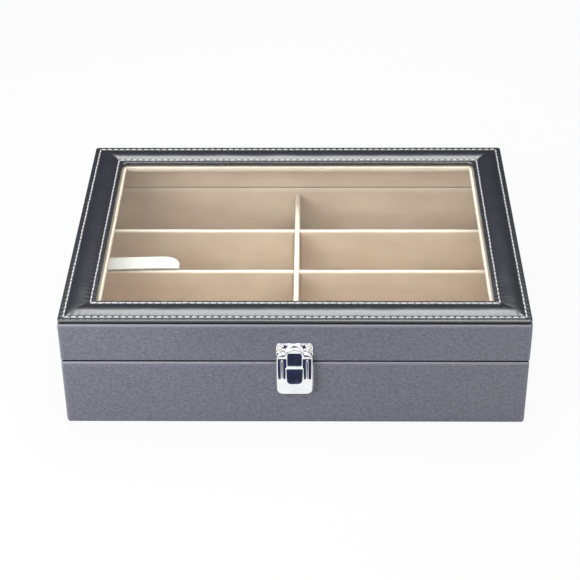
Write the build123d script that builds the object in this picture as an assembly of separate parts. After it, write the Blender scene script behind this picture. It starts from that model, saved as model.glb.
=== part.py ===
from build123d import *
import os

# A display case for folded eyewear: a board base and a hinged lid with a window, both wrapped in
# leatherette and lined with velvet. X runs across, Y from front to back, Z up, and the origin is
# the middle of the underside. All sizes are in millimetres.

# The case
case_width = 335.0
case_depth = 245.0
base_height = 56.0
seam_gap = 0.4
lid_wall_height = 33.0

# Boards, skins and linings
wrap = 1.0
board = 5.0
liner = 2.0
floor_board = 4.0
floor_pad = 3.0
underside_sheet = 1.0
underside_inset = 1.2
corner_radius = 1.6
edge_radius = 0.6

# Dividers
row_count = 4
divider_core = 2.4
divider_velvet = 0.8
divider_drop = 5.5
divider_round = 1.2

# Lid top and window
top_board = 4.0
ceiling_card = 2.0
window_border = 25.0
window_ledge = 2.0
trim_sheet = 0.5
pane_thickness = 2.0
pane_overlap = 6.0
panel_card = 1.8
panel_skin = 0.8
panel_inset = 0.4
crown_rise = 1.8
crown_round = 1.6
outer_seam_inset = 4.4
inner_seam_inset = 3.4

# Hinges, on the back face
hinge_inset = 67.5
hinge_length = 32.0
leaf_height = 14.0
leaf_thickness = 1.0
knuckle_radius = 2.1
knuckle_gap = 0.4
pin_radius = 1.1
running_gap = 0.05
skin_gap = 0.2
pin_head = 0.6
pin_head_radius = 1.8
screw_spacing = 18.0
screw_drop = 9.0
screw_shank = 1.1
screw_head = 2.1
screw_head_height = 1.0
screw_head_round = 0.7
screw_reach = 4.0

# Latch, on the front face: heights are from the lid's rim or the base's rim
latch_plate_width = 26.4
latch_plate_thickness = 1.0
catch_rise = 2.0
catch_height = 14.4
catch_corner = 3.0
boss_radius = 6.5
boss_height = 0.8
boss_round = 0.5
boss_rise = 9.6
nose_reach = 5.4
nose_crest = 3.0
nose_foot = 3.2
nose_undercut = 1.9
nose_lean = 0.4
base_plate_drop = 0.6
base_plate_height = 22.2
base_plate_corner = 2.0
rivet_shank = 1.0
rivet_head = 1.9
rivet_head_height = 1.1
rivet_head_round = 0.9
rivet_reach = 4.0
catch_rivet_spread = 20.2
catch_rivet_rise = 11.4
plate_rivet_spread = 18.0
plate_rivet_drop = 4.4
plate_rivet_spacing = 16.0
flap_width = 24.6
flap_height = 32.2
flap_drop = 24.6
flap_wall = 1.0
flap_corner = 4.0
tab_radius = 7.2
tab_rise = 4.8
window_bar = 2.5
window_width = 12.2
window_height = 12.7
window_corner = 4.0
pad_width = 13.2
pad_height = 13.0
pad_corner = 4.4
pad_gap = 1.6
pad_rise = 0.5
flap_gap = 0.4
flap_face = 3.2
flap_belly = 7.0
flap_belly_rise = 6.0
flap_swell = 0.8
flap_lip = 1.8
flap_lip_swell = 0.4
flap_foot = 4.4
flap_side_rise = 12.6
pivot_drop = 15.0
pivot_out = 3.4
ear_inside = 17.2
ear_thickness = 1.0
ear_radius = 2.0
lug_gap = 0.4
lug_radius = 1.9
latch_pin_radius = 0.9
latch_pin_head = 0.6
latch_pin_head_radius = 1.35
spring_wire = 0.25
spring_gap = 0.2
spring_turns = 5.5
spring_length = 9.0
spring_leg = 1.4

# Folded stay tape, inside at the left
tape_width = 16.5
tape_thickness = 0.6
tape_reach = 62.0
tape_gap = 0.4
tape_hold = 9.0
tape_upper_rise = 1.6
tape_fold_drop = 2.2
tape_slope = 0.6
tape_bend = 3.0
tape_fold_bend = 1.0
tape_loop = 14.0
tape_loop_drop = 25.0
tape_loop_bend = 5.5
tape_seam_bend = 4.0

# Outlines that several pieces share
half_width = case_width / 2
half_depth = case_depth / 2
board_x = half_width - wrap
board_y = half_depth - wrap
board_inner_x = board_x - board
board_inner_y = board_y - board
clear_x = board_inner_x - liner
clear_y = board_inner_y - liner

# Levels of the base
base_floor_top = underside_sheet + floor_board
pad_top = base_floor_top + floor_pad
divider_top = base_height - divider_drop
divider_thickness = divider_core + 2 * divider_velvet
row_depth = (2 * clear_y - (row_count - 1) * divider_thickness) / row_count
row_pitch = row_depth + divider_thickness

# Levels of the lid
lid_rim = base_height + seam_gap
lid_top = lid_rim + lid_wall_height
top_board_bottom = lid_top - top_board
ceiling_bottom = top_board_bottom - ceiling_card
panel_top = lid_top + panel_card + panel_skin
window_x = half_width - window_border
window_y = half_depth - window_border
ledge_x = window_x - window_ledge
ledge_y = window_y - window_ledge
pane_x = window_x + pane_overlap
pane_y = window_y + pane_overlap
pane_bottom = lid_top - pane_thickness

# Hinges: the axis, and how far each is from the middle
hinge_x = half_width - hinge_inset
axis_y = half_depth + knuckle_radius + skin_gap
axis_z = base_height + seam_gap / 2

# Latch levels and its pivot, on the base
flap_top = base_height - flap_drop + flap_height
flap_bottom = base_height - flap_drop
flap_peak = flap_top + tab_rise
pivot_z = base_height - pivot_drop
base_plate_top = base_height - base_plate_drop
base_plate_bottom = base_plate_top - base_plate_height
catch_bottom = lid_rim + catch_rise
catch_top = catch_bottom + catch_height


def slab(x0, x1, y0, y1, z0, z1):
    """A block given by its two faces on each axis."""
    block = Box(x1 - x0, y1 - y0, z1 - z0)
    return Pos((x0 + x1) / 2, (y0 + y1) / 2, (z0 + z1) / 2) * block


def centred(half_x, half_y, z0, z1):
    """A block centred on the case's upright axis."""
    return slab(-half_x, half_x, -half_y, half_y, z0, z1)


def rod(axis, x, y, z, radius, length):
    """A round bar along X or Y, centred on its point."""
    turn = Rot(0, 90, 0) if axis == "X" else Rot(90, 0, 0)
    return Pos(x, y, z) * turn * Cylinder(radius, length)


def out(distance):
    """The Y of a point that far in front of the case's front face."""
    return -half_depth - distance


def wrapped_skin(z0, z1):
    """Leatherette round four walls, turned in over their top and bottom edges."""
    block = centred(half_width, half_depth, z0, z1)
    block = fillet(block.edges().filter_by(Axis.Z), corner_radius)
    rims = block.faces().filter_by(Axis.Z).edges()
    block = fillet(rims, edge_radius)
    block -= centred(board_x, board_y, z0 + wrap, z1 - wrap)
    block -= centred(board_inner_x, board_inner_y, z0 - wrap, z1 + wrap)
    return block


def wall_boards(z0, z1):
    """Four wall boards: front and back run the full width, the sides stand between them."""
    return {
        "front": slab(-board_x, board_x, -board_y, -board_inner_y, z0, z1),
        "back": slab(-board_x, board_x, board_inner_y, board_y, z0, z1),
        "left": slab(-board_x, -board_inner_x, -board_inner_y, board_inner_y, z0, z1),
        "right": slab(board_inner_x, board_x, -board_inner_y, board_inner_y, z0, z1),
    }


def wall_liners(z0, z1):
    """Four velvet-covered cards on the insides of the walls."""
    return {
        "front": slab(-board_inner_x, board_inner_x, -board_inner_y, -clear_y, z0, z1),
        "back": slab(-board_inner_x, board_inner_x, clear_y, board_inner_y, z0, z1),
        "left": slab(-board_inner_x, -clear_x, -clear_y, clear_y, z0, z1),
        "right": slab(clear_x, board_inner_x, -clear_y, clear_y, z0, z1),
    }


def divider(length):
    """A stiff core along X and the velvet cover folded over it."""
    half, reach = divider_thickness / 2, length / 2
    core_half = divider_core / 2
    core = slab(-reach, reach, -core_half, core_half, pad_top, divider_top - divider_velvet)
    cover = slab(-reach, reach, -half, half, pad_top, divider_top)
    top_edges = cover.faces().sort_by(Axis.Z)[-1].edges().filter_by(Axis.X)
    cover = fillet(top_edges, divider_round) - core
    return core, cover


def divider_set():
    """One divider from front to back over the cross dividers, halved into each other."""
    lap = (pad_top + divider_top) / 2
    half = divider_thickness / 2
    made = {}
    rows = [row_pitch * (i - (row_count - 2) / 2) for i in range(row_count - 1)]
    slots = [slab(-half, half, y - half, y + half, pad_top, lap) for y in rows]
    for kind, piece in zip(("core", "cover"), divider(2 * clear_y)):
        piece = Rot(0, 0, 90) * piece
        for slot in slots:
            piece -= slot
        made[f"centre_divider_{kind}"] = piece
    notch = slab(-half, half, -half, half, lap, divider_top)
    for number, y in enumerate(rows, 1):
        for kind, piece in zip(("core", "cover"), divider(2 * clear_x)):
            made[f"cross_divider_{number}_{kind}"] = Pos(0, y, 0) * (piece - notch)
    return made


def base_carcass():
    """Boards, skin, linings and underside of the base, before any hole."""
    wall_bottom = underside_sheet + wrap
    made = {"base_skin": wrapped_skin(underside_sheet, base_height)}
    for side, piece in wall_boards(wall_bottom, base_height - wrap).items():
        made[f"base_{side}_board"] = piece
    for side, piece in wall_liners(base_floor_top, base_height).items():
        made[f"base_{side}_liner"] = piece
    made["base_floor_board"] = centred(
        board_inner_x, board_inner_y, underside_sheet, base_floor_top
    )
    made["floor_pad"] = centred(clear_x, clear_y, base_floor_top, pad_top)
    made["underside_sheet"] = centred(
        half_width - underside_inset, half_depth - underside_inset, 0, underside_sheet
    )
    return made


def lid_carcass():
    """Boards, skin, linings, window trim and pane of the lid, before any hole."""
    made = {"lid_skin": wrapped_skin(lid_rim, lid_top)}
    for side, piece in wall_boards(lid_rim + wrap, lid_top - wrap).items():
        made[f"lid_{side}_board"] = piece
    for side, piece in wall_liners(lid_rim, ceiling_bottom).items():
        made[f"lid_{side}_liner"] = piece
    hole = centred(ledge_x, ledge_y, ceiling_bottom - 1, lid_top + 1)
    rebate = centred(pane_x, pane_y, pane_bottom - trim_sheet, lid_top + 1)
    top = centred(board_inner_x, board_inner_y, top_board_bottom, lid_top)
    made["lid_top_board"] = top - hole - rebate
    ceiling = centred(board_inner_x, board_inner_y, ceiling_bottom, top_board_bottom)
    made["lid_ceiling_card"] = ceiling - hole
    made["window_pane"] = centred(pane_x, pane_y, pane_bottom, lid_top)
    made["window_trim"] = window_trim()
    return made


def window_trim():
    """Pale trim folded over the window's ledge, under the pane."""
    inner_x, inner_y = ledge_x - trim_sheet, ledge_y - trim_sheet
    flange = centred(pane_x, pane_y, pane_bottom - trim_sheet, pane_bottom)
    sleeve = centred(ledge_x, ledge_y, ceiling_bottom, pane_bottom)
    return flange + sleeve - centred(inner_x, inner_y, ceiling_bottom, pane_bottom)


def frame(outer_x, outer_y, inner_x, inner_y, z0, z1):
    """A flat rectangular frame."""
    return centred(outer_x, outer_y, z0, z1) - centred(inner_x, inner_y, z0, z1)


def crowned_frame(margin, z0, rise):
    """A padded frame between the two seams, its upper edges rounded over."""
    outer_x = half_width - outer_seam_inset + margin
    outer_y = half_depth - outer_seam_inset + margin
    inner_x = window_x + inner_seam_inset - margin
    inner_y = window_y + inner_seam_inset - margin
    body = frame(outer_x, outer_y, inner_x, inner_y, z0, z0 + rise)
    top = body.faces().sort_by(Axis.Z)[-1]
    return fillet(top.edges(), crown_round)


def top_panel():
    """The lid's padded window frame: card, foam and the skin over both."""
    card_top = lid_top + panel_card
    edge_x, edge_y = half_width - panel_inset, half_depth - panel_inset
    card = frame(
        edge_x - panel_skin, edge_y - panel_skin,
        window_x + panel_skin, window_y + panel_skin, lid_top, card_top,
    )
    foam = crowned_frame(-panel_skin, card_top, crown_rise)
    skin = frame(edge_x, edge_y, window_x, window_y, lid_top, panel_top)
    skin = fillet(skin.edges().filter_by(Axis.Z), panel_skin)
    skin += crowned_frame(0, card_top + panel_skin / 2, crown_rise + panel_skin / 2)
    return {"panel_card": card, "panel_foam": foam, "panel_skin": skin - card - foam}


def hinge(side):
    """Two leaves with rolled knuckles, and the pin, at the left (-1) or right (1)."""
    middle = side * hinge_x
    third = (hinge_length - 2 * knuckle_gap) / 3
    step = third + knuckle_gap
    clear = knuckle_radius + knuckle_gap
    x0, x1 = middle - hinge_length / 2, middle + hinge_length / 2
    y0, y1 = half_depth, half_depth + leaf_thickness

    def knuckle(x, direction, bore):
        """One knuckle with the strip that joins it to its leaf."""
        roll = rod("X", x, axis_y, axis_z, knuckle_radius, third)
        ends = sorted((axis_z, axis_z + direction * (clear + knuckle_gap)))
        strip = slab(x - third / 2, x + third / 2, y0, y1, *ends)
        return roll + strip - rod("X", x, axis_y, axis_z, bore, third)

    base = slab(x0, x1, y0, y1, axis_z - leaf_height, axis_z - clear)
    base += knuckle(middle - step, -1, pin_radius)
    base += knuckle(middle + step, -1, pin_radius)
    lid = slab(x0, x1, y0, y1, axis_z + clear, axis_z + leaf_height)
    lid += knuckle(middle, 1, pin_radius + running_gap)
    pin = rod("X", middle, axis_y, axis_z, pin_radius, hinge_length)
    for end in (-1, 1):
        x = middle + end * (hinge_length + pin_head) / 2
        pin += rod("X", x, axis_y, axis_z, pin_head_radius, pin_head)
    return base, lid, pin


def screw_places(direction):
    """Centres of the hinge screws below (-1) or above (1) the hinge axis."""
    return [
        (side * hinge_x + step * screw_spacing / 2, axis_z + direction * screw_drop)
        for side in (-1, 1)
        for step in (-1, 1)
    ]


def screw_shanks(direction):
    """Shanks of those screws, from the leaf's outer face into the board."""
    length = leaf_thickness + wrap + screw_reach
    y = half_depth + leaf_thickness - length / 2
    return [rod("Y", x, y, z, screw_shank, length) for x, z in screw_places(direction)]


def screw_heads(direction):
    """Pan heads of those screws."""
    y = half_depth + leaf_thickness + screw_head_height / 2
    heads = []
    for x, z in screw_places(direction):
        head = rod("Y", x, y, z, screw_head, screw_head_height)
        rim = head.faces().sort_by(Axis.Y)[-1].edges()
        heads.append(fillet(rim, screw_head_round))
    return heads


def rivet_places(kind):
    """Centres of the rivets of the catch plate or of the latch's base plate."""
    if kind == "catch":
        return [(s * catch_rivet_spread / 2, lid_rim + catch_rivet_rise) for s in (-1, 1)]
    heights = (base_height - plate_rivet_drop, base_height - plate_rivet_drop - plate_rivet_spacing)
    return [(s * plate_rivet_spread / 2, z) for s in (-1, 1) for z in heights]


def rivet_shanks(kind):
    """Shanks of those rivets, from the plate's outer face into the board."""
    length = latch_plate_thickness + wrap + rivet_reach
    y = out(latch_plate_thickness) + length / 2
    return [rod("Y", x, y, z, rivet_shank, length) for x, z in rivet_places(kind)]


def rivet_heads(kind):
    """Round heads of those rivets."""
    y = out(latch_plate_thickness + rivet_head_height / 2)
    heads = []
    for x, z in rivet_places(kind):
        head = rod("Y", x, y, z, rivet_head, rivet_head_height)
        rim = head.faces().sort_by(Axis.Y)[0].edges()
        heads.append(fillet(rim, rivet_head_round))
    return heads


def side_face(face, width):
    """A face drawn as (distance out, height), given a width across X."""
    plane = Plane(origin=(width / 2, -half_depth, 0), x_dir=(0, -1, 0), z_dir=(-1, 0, 0))
    return extrude(plane * face, width)


def front_outline(face, d0, d1):
    """A face drawn in X and Z, given thickness from d0 to d1 in front of the case."""
    plane = Plane(origin=(0, out(d0), 0), x_dir=(1, 0, 0), z_dir=(0, -1, 0))
    return extrude(plane * face, d1 - d0)


def rounded_plate(width, z0, z1, top_corner, bottom_corner, thickness):
    """A flat stamped plate on the front face, its corners rounded."""
    plate = slab(-width / 2, width / 2, out(thickness), out(0), z0, z1)
    upright = plate.edges().filter_by(Axis.Y)
    plate = fillet(upright.sort_by(Axis.Z)[-2:], top_corner)
    corners = plate.edges().filter_by(Axis.Y).sort_by(Axis.Z)[:2]
    return fillet(corners, bottom_corner)


def window_top():
    """The upper edge of the flap's window."""
    return flap_peak - window_bar


def window_outline(margin):
    """The flap's window, or the nose inside it, drawn smaller by a margin."""
    width = window_width - 2 * margin
    height = window_height - margin
    middle = window_top() - margin - height / 2
    arch = Pos(0, middle) * RectangleRounded(width, height, window_corner - margin)
    foot = Pos(0, middle - height / 4) * Rectangle(width, height / 2)
    return arch + foot


def catch_plate():
    """The lid's part of the latch: plate, round boss and the nose that the flap drops over."""
    plate = rounded_plate(
        latch_plate_width, catch_bottom, catch_top, catch_corner, edge_radius, latch_plate_thickness
    )
    boss_z = lid_rim + boss_rise
    boss_y = out(latch_plate_thickness + boss_height / 2)
    boss = rod("Y", 0, boss_y, boss_z, boss_radius, boss_height)
    boss = fillet(boss.faces().sort_by(Axis.Y)[0].edges(), boss_round)
    nose_top = window_top() - flap_gap
    profile = Polyline(
        (latch_plate_thickness / 2, nose_top - nose_lean),
        (nose_crest, nose_top),
        (nose_reach, lid_rim + nose_undercut),
        (nose_foot, lid_rim),
        (latch_plate_thickness / 2, lid_rim),
        close=True,
    )
    nose = side_face(make_face(profile), window_width)
    nose &= front_outline(window_outline(flap_gap), 0, flap_belly)
    return plate + boss + nose


def flap_outline(margin):
    """The flap seen from the front, drawn smaller by a margin: a plate with an arched tab."""
    middle = (flap_top + flap_bottom) / 2
    width = flap_width - 2 * margin
    height = flap_height - 2 * margin
    body = Pos(0, middle) * RectangleRounded(width, height, flap_corner - margin)
    centre = flap_top + tab_rise - tab_radius
    tab = Pos(0, centre) * Circle(tab_radius)
    stem = Pos(0, centre - tab_radius / 2) * Rectangle(2 * tab_radius, tab_radius)
    return body + tab + stem


def bowed(start, end, swell):
    """An arc between two (distance out, height) points, standing out between them."""
    middle = ((start[0] + end[0]) / 2 + swell, (start[1] + end[1]) / 2)
    return ThreePointArc(start, middle, end)


def flap_side(margin, back):
    """The flap from the side: its front face, moved in by a margin, closed by points behind."""
    top = (flap_face - margin, flap_peak)
    shoulder = (flap_face - margin, flap_top)
    belly = (flap_belly - margin, flap_bottom + flap_belly_rise)
    lip = (flap_belly - flap_lip - margin, flap_bottom)
    front = Line(top, shoulder) + bowed(shoulder, belly, flap_swell)
    front += bowed(belly, lip, flap_lip_swell)
    return make_face(front + Polyline(lip, *back, top))


def latch_flap():
    """The sprung flap: a thin pressed cover with a window, a raised pad and two pivot lugs."""
    reach = 2 * flap_belly
    back = latch_plate_thickness + flap_gap
    edge = [(flap_foot, flap_bottom), (back, flap_bottom + flap_side_rise), (back, flap_peak)]
    behind = [(-reach, flap_bottom), (-reach, flap_peak)]
    front = side_face(flap_side(0, edge), flap_width)
    front &= front_outline(flap_outline(0), 0, reach)
    hollow = side_face(flap_side(flap_wall, behind), flap_width)
    hollow &= front_outline(flap_outline(flap_wall), -reach, reach)
    pad_z = window_top() - window_height - pad_gap - pad_height / 2
    pad_face = Pos(0, pad_z) * RectangleRounded(pad_width, pad_height, pad_corner)
    pad = side_face(flap_side(-pad_rise, behind), pad_width)
    pad &= front_outline(pad_face, 0, reach)
    flap = front + pad - hollow - front_outline(window_outline(0), -reach, reach)
    bore = latch_pin_radius + running_gap
    return flap + flap_lugs() - rod("X", 0, out(pivot_out), pivot_z, bore, flap_width)


def flap_lugs():
    """Two lugs inside the flap that turn on the pin, between the base plate's ears."""
    lugs = Part()
    for side in (-1, 1):
        x = side * (ear_inside / 2 - lug_gap - ear_thickness / 2)
        lugs += rod("X", x, out(pivot_out), pivot_z, lug_radius, ear_thickness)
        lugs += slab(
            x - ear_thickness / 2, x + ear_thickness / 2,
            out(flap_belly - flap_wall), out(pivot_out),
            pivot_z - lug_radius, pivot_z + lug_radius,
        )
    return lugs


def latch_base_plate():
    """The base's part of the latch: a riveted plate with two ears for the pin."""
    plate = rounded_plate(
        latch_plate_width, base_plate_bottom, base_plate_top,
        base_plate_corner, base_plate_corner, latch_plate_thickness,
    )
    for side in (-1, 1):
        x = side * (ear_inside + ear_thickness) / 2
        plate += rod("X", x, out(pivot_out), pivot_z, ear_radius, ear_thickness)
        plate += slab(
            x - ear_thickness / 2, x + ear_thickness / 2, out(pivot_out), out(0),
            pivot_z - ear_radius, pivot_z + ear_radius,
        )
    return plate - rod("X", 0, out(pivot_out), pivot_z, latch_pin_radius, flap_width)


def latch_pin():
    """The latch's pivot pin, headed outside both ears."""
    reach = ear_inside / 2 + ear_thickness
    pin = rod("X", 0, out(pivot_out), pivot_z, latch_pin_radius, 2 * reach)
    for side in (-1, 1):
        x = side * (reach + latch_pin_head / 2)
        pin += rod("X", x, out(pivot_out), pivot_z, latch_pin_head_radius, latch_pin_head)
    return pin


def latch_spring():
    """A torsion spring round the pin, its two legs pointing down."""
    radius = latch_pin_radius + spring_gap + spring_wire
    coil = Helix(spring_length / spring_turns, spring_length, radius)
    wire = sweep(Plane(origin=coil @ 0, z_dir=coil % 0) * Circle(spring_wire), coil)
    for end, direction in ((0, -1), (1, 1)):
        leg = Plane(origin=coil @ end, z_dir=(coil % end) * direction)
        wire += leg * Pos(0, 0, spring_leg / 2) * Cylinder(spring_wire, spring_leg)
    corner = (-spring_length / 2, out(pivot_out), pivot_z)
    return Plane(origin=corner, x_dir=(0, 1, 0), z_dir=(1, 0, 0)) * wire


def tape_path():
    """The folded tape seen from the front, from the lid's wall down to the base's wall."""
    wall = -clear_x + tape_gap + tape_thickness / 2
    fold = wall + tape_reach
    loop = wall + tape_loop
    upper = divider_top + tape_upper_rise
    lower = upper - tape_fold_drop
    return FilletPolyline(
        (wall, lid_rim + tape_hold),
        (wall, upper + tape_slope),
        (fold, upper),
        (fold, lower),
        (loop + tape_bend, lower - tape_slope),
        (loop, divider_top - tape_loop_drop),
        (wall, divider_top - tape_loop_drop),
        (wall, divider_top),
        radius=(tape_bend, tape_fold_bend, tape_fold_bend, tape_seam_bend, tape_loop_bend, tape_loop_bend),
    )


def stay_tape():
    """A woven tape from the lid to the base, folded away behind the middle cross divider."""
    flat = trace(tape_path(), line_width=tape_thickness)
    y0 = divider_thickness / 2 + tape_gap
    plane = Plane(origin=(0, y0, 0), x_dir=(1, 0, 0), z_dir=(0, -1, 0))
    return extrude(plane * flat, -tape_width)


def drilled(pieces, names, cutters):
    """The named pieces with the fasteners' holes cut in them."""
    for name in names:
        for cutter in cutters:
            pieces[name] = pieces[name] - cutter


def assemble():
    """Every piece of the case, by name."""
    pieces = {**base_carcass(), **divider_set(), **lid_carcass(), **top_panel()}
    for side, word in ((-1, "left"), (1, "right")):
        base_leaf, lid_leaf, pin = hinge(side)
        pieces[f"hinge_{word}_base_leaf"] = base_leaf
        pieces[f"hinge_{word}_lid_leaf"] = lid_leaf
        pieces[f"hinge_{word}_pin"] = pin
    pieces["catch_plate"] = catch_plate()
    pieces["latch_base_plate"] = latch_base_plate()
    pieces["latch_flap"] = latch_flap()
    pieces["latch_pin"] = latch_pin()
    pieces["latch_spring"] = latch_spring()
    pieces["stay_tape"] = stay_tape()
    for part, direction in (("base", -1), ("lid", 1)):
        leaves = [f"hinge_{word}_{part}_leaf" for word in ("left", "right")]
        shanks = screw_shanks(direction)
        drilled(pieces, [f"{part}_skin", f"{part}_back_board", *leaves], shanks)
        screws = [shank + head for shank, head in zip(shanks, screw_heads(direction))]
        pieces[f"{part}_hinge_screws"] = Compound(children=screws)
    for part, kind, plate in (("lid", "catch", "catch_plate"), ("base", "latch_plate", "latch_base_plate")):
        shanks = rivet_shanks(kind)
        drilled(pieces, [f"{part}_skin", f"{part}_front_board", plate], shanks)
        rivets = [shank + head for shank, head in zip(shanks, rivet_heads(kind))]
        pieces[f"{kind}_rivets"] = Compound(children=rivets)
    return pieces


os.makedirs("parts", exist_ok=True)
for name, piece in assemble().items():
    export_step(piece, f"parts/{name}.step")
    print(name, round(piece.volume))
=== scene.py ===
# %% [markdown]
# # A display case for folded eyewear
# The case is a board box wrapped in dark leatherette, with a hinged lid. The lid holds a pane in a
# padded, stitched frame, and the inside is tan velvet with pale-topped dividers. The lesson dresses
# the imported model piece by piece: each new piece is a surface worked out with numpy, and each
# finish is a node material that reads the piece's own coordinates.

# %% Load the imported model
import math

import bmesh
import bpy
import numpy as np
from mathutils import Matrix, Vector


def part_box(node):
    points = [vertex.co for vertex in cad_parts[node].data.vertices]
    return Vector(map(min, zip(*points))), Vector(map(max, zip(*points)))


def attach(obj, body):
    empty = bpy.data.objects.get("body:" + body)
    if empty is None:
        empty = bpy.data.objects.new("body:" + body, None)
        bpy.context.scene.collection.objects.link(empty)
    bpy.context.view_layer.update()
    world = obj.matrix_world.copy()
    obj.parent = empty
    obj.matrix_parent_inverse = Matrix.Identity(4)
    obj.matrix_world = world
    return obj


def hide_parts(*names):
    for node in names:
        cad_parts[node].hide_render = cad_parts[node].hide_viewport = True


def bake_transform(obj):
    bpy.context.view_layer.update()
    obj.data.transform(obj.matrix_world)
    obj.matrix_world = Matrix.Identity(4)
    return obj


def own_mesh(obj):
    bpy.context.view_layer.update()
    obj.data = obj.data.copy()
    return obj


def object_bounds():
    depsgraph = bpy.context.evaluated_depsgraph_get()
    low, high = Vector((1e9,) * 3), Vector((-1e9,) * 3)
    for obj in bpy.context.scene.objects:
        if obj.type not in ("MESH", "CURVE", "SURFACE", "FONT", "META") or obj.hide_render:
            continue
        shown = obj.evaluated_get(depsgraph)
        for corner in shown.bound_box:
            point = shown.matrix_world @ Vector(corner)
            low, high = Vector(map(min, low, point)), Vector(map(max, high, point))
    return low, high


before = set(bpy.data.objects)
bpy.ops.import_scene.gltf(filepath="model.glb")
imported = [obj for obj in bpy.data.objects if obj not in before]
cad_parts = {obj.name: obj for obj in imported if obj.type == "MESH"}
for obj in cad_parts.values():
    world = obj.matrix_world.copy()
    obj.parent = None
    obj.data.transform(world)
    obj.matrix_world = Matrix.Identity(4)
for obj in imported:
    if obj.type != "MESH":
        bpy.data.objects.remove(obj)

mm = 0.001
cad_box = [list(corner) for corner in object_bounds()]
print("packed box in millimetres", [[round(value / mm, 1) for value in corner] for corner in cad_box])

# %% [markdown]
# ## Levels of the real case
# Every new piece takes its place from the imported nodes, so the looks can't drift away from the
# construction. A node's box gives two corners; most pieces of a case need only half sizes and
# heights, because the case is centred on the upright axis.


# %% Read the half sizes and heights from the nodes
def reach(node):
    """Half the size of a centred node across X and Y, and its lowest and highest Z."""
    low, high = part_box(node)
    return high[0], high[1], low[2], high[2]


half_x, half_y, base_bottom, base_rim = reach("base_skin")
lid_rim, lid_top = reach("lid_skin")[2:]
panel_x, panel_y, panel_bottom = reach("panel_skin")[:3]
clear_x, clear_y, floor_low, floor_top = reach("floor_pad")
lined_x, lined_y, ceiling_low, ceiling_high = reach("lid_ceiling_card")
divider_half = reach("centre_divider_cover")[0]
divider_top = reach("centre_divider_cover")[3]
pane_x, pane_y, pane_low = reach("window_pane")[:3]
row_boxes = [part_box(f"cross_divider_{number}_cover") for number in (1, 2, 3)]
row_places = [(low[1] + high[1]) / 2 for low, high in row_boxes]
print("rims", round(base_rim / mm, 2), round(lid_rim / mm, 2), "dividers at", np.round(row_places, 4))

# %% [markdown]
# ## Surfaces from grids
# A sheet of leather or velvet, a thread and a pressed plate are all surfaces with two directions.
# So one helper turns any grid of points into a mesh: neighbours in the grid become faces, and
# edges of the grid that meet in space are welded. A rolled-up grid then closes by itself, and a
# row that shrinks to one point becomes a pole. Blocks with modifiers would do for boards, but a
# grid also carries the places in the unfolded pattern and the marks that the finishes read.


# %% The helper that makes a piece from grids of points
def surface(name, grids, uvs=None, marks=None):
    """A piece from a list of point grids [..., row, column, xyz], with a place in the unfolded
    pattern (u, v) and named marks for each point. Points that meet are welded."""
    corners, start = [], 0
    for grid in grids:
        copies, grid_rows, columns = grid.reshape(-1, *grid.shape[-3:]).shape[:3]
        index = start + np.arange(copies * grid_rows * columns).reshape(copies, grid_rows, columns)
        cell = [index[:, :-1, :-1], index[:, :-1, 1:], index[:, 1:, 1:], index[:, 1:, :-1]]
        corners.append(np.stack(cell, -1).reshape(-1, 4))
        start += index.size
    corners = np.concatenate(corners)
    mesh = bpy.data.meshes.new(name)
    points = np.concatenate([grid.reshape(-1, 3) for grid in grids])
    mesh.from_pydata(points.tolist(), [], corners.tolist())
    if uvs is not None:
        flat = np.concatenate([uv.reshape(-1, 2) for uv in uvs])
        mesh.uv_layers.new(name="UVMap").data.foreach_set("uv", flat[corners].ravel())
    for label, values in (marks or {}).items():
        flat = np.concatenate([value.ravel() for value in values])
        mesh.attributes.new(label, "FLOAT", "POINT").data.foreach_set("value", flat)
    work = bmesh.new()
    work.from_mesh(mesh)
    bmesh.ops.remove_doubles(work, verts=work.verts, dist=1e-6)
    if not any(edge.is_boundary for edge in work.edges):
        bmesh.ops.recalc_face_normals(work, faces=work.faces)
    work.to_mesh(mesh)
    work.free()
    mesh.shade_smooth()
    piece = bpy.data.objects.new(name, mesh)
    bpy.context.scene.collection.objects.link(piece)
    return piece


# %% Helpers that place and dress a piece
def install(piece, body, finish, nodes=()):
    """Gives a piece its finish, its body and the nodes that it stands for."""
    piece.data.materials.append(finish)
    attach(piece, body)
    if nodes:
        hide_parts(*nodes)
    print(piece.name, "rides", body, "faces", len(piece.data.polygons))


def dress(finish, *nodes):
    """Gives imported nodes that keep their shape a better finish."""
    for name in nodes:
        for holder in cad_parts[name].material_slots:
            holder.material = finish
    print(finish.name, "on", len(nodes), "packed nodes")


# %% [markdown]
# ## Smooth random waves
# Glued leather is never quite flat: it waves by a tenth of a millimetre over the length of a
# finger, and that is what breaks up its reflections. A sum of a few cosine waves in random
# directions gives such a field, and it is the same on each run because its seed is fixed.


# %% Waves and soft steps
def ripple(points, wavelength, seed, waves=12):
    """A smooth field of about -1 to 1: the mean of cosines whose directions, lengths and phases
    are random."""
    random = np.random.default_rng(seed)
    ways = random.normal(size=(waves, 3))
    ways /= np.linalg.norm(ways, axis=1, keepdims=True)
    ways *= 2 * np.pi / (wavelength * random.uniform(0.7, 1.6, (waves, 1)))
    return np.cos(points @ ways.T + random.uniform(0, 2 * np.pi, waves)).sum(-1) / math.sqrt(2 * waves)


def soft_step(value, low, high):
    """0 below low, 1 above high, and an even S-curve between them."""
    share = np.clip((value - low) / (high - low), 0, 1)
    return share * share * (3 - 2 * share)


def dome(share):
    """A parabola that is nothing at 0 and at 1, and 1 half way."""
    return 4 * share * (1 - share)


sample = ripple(np.zeros((5, 3)) + np.linspace(0, 1, 5)[:, None], 1.0, 1)
print("a wave read at five places", np.round(sample, 2))

# %% [markdown]
# ## Rounded outlines
# Nearly every piece of a case follows a rectangle with round corners: walls, window, cards, plates.
# One function draws that outline at any distance inwards, and a profile of distances and heights
# carried round it gives a wrap, a frame or a ring. Its points crowd towards the corners, where a
# shape bends most.


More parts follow.
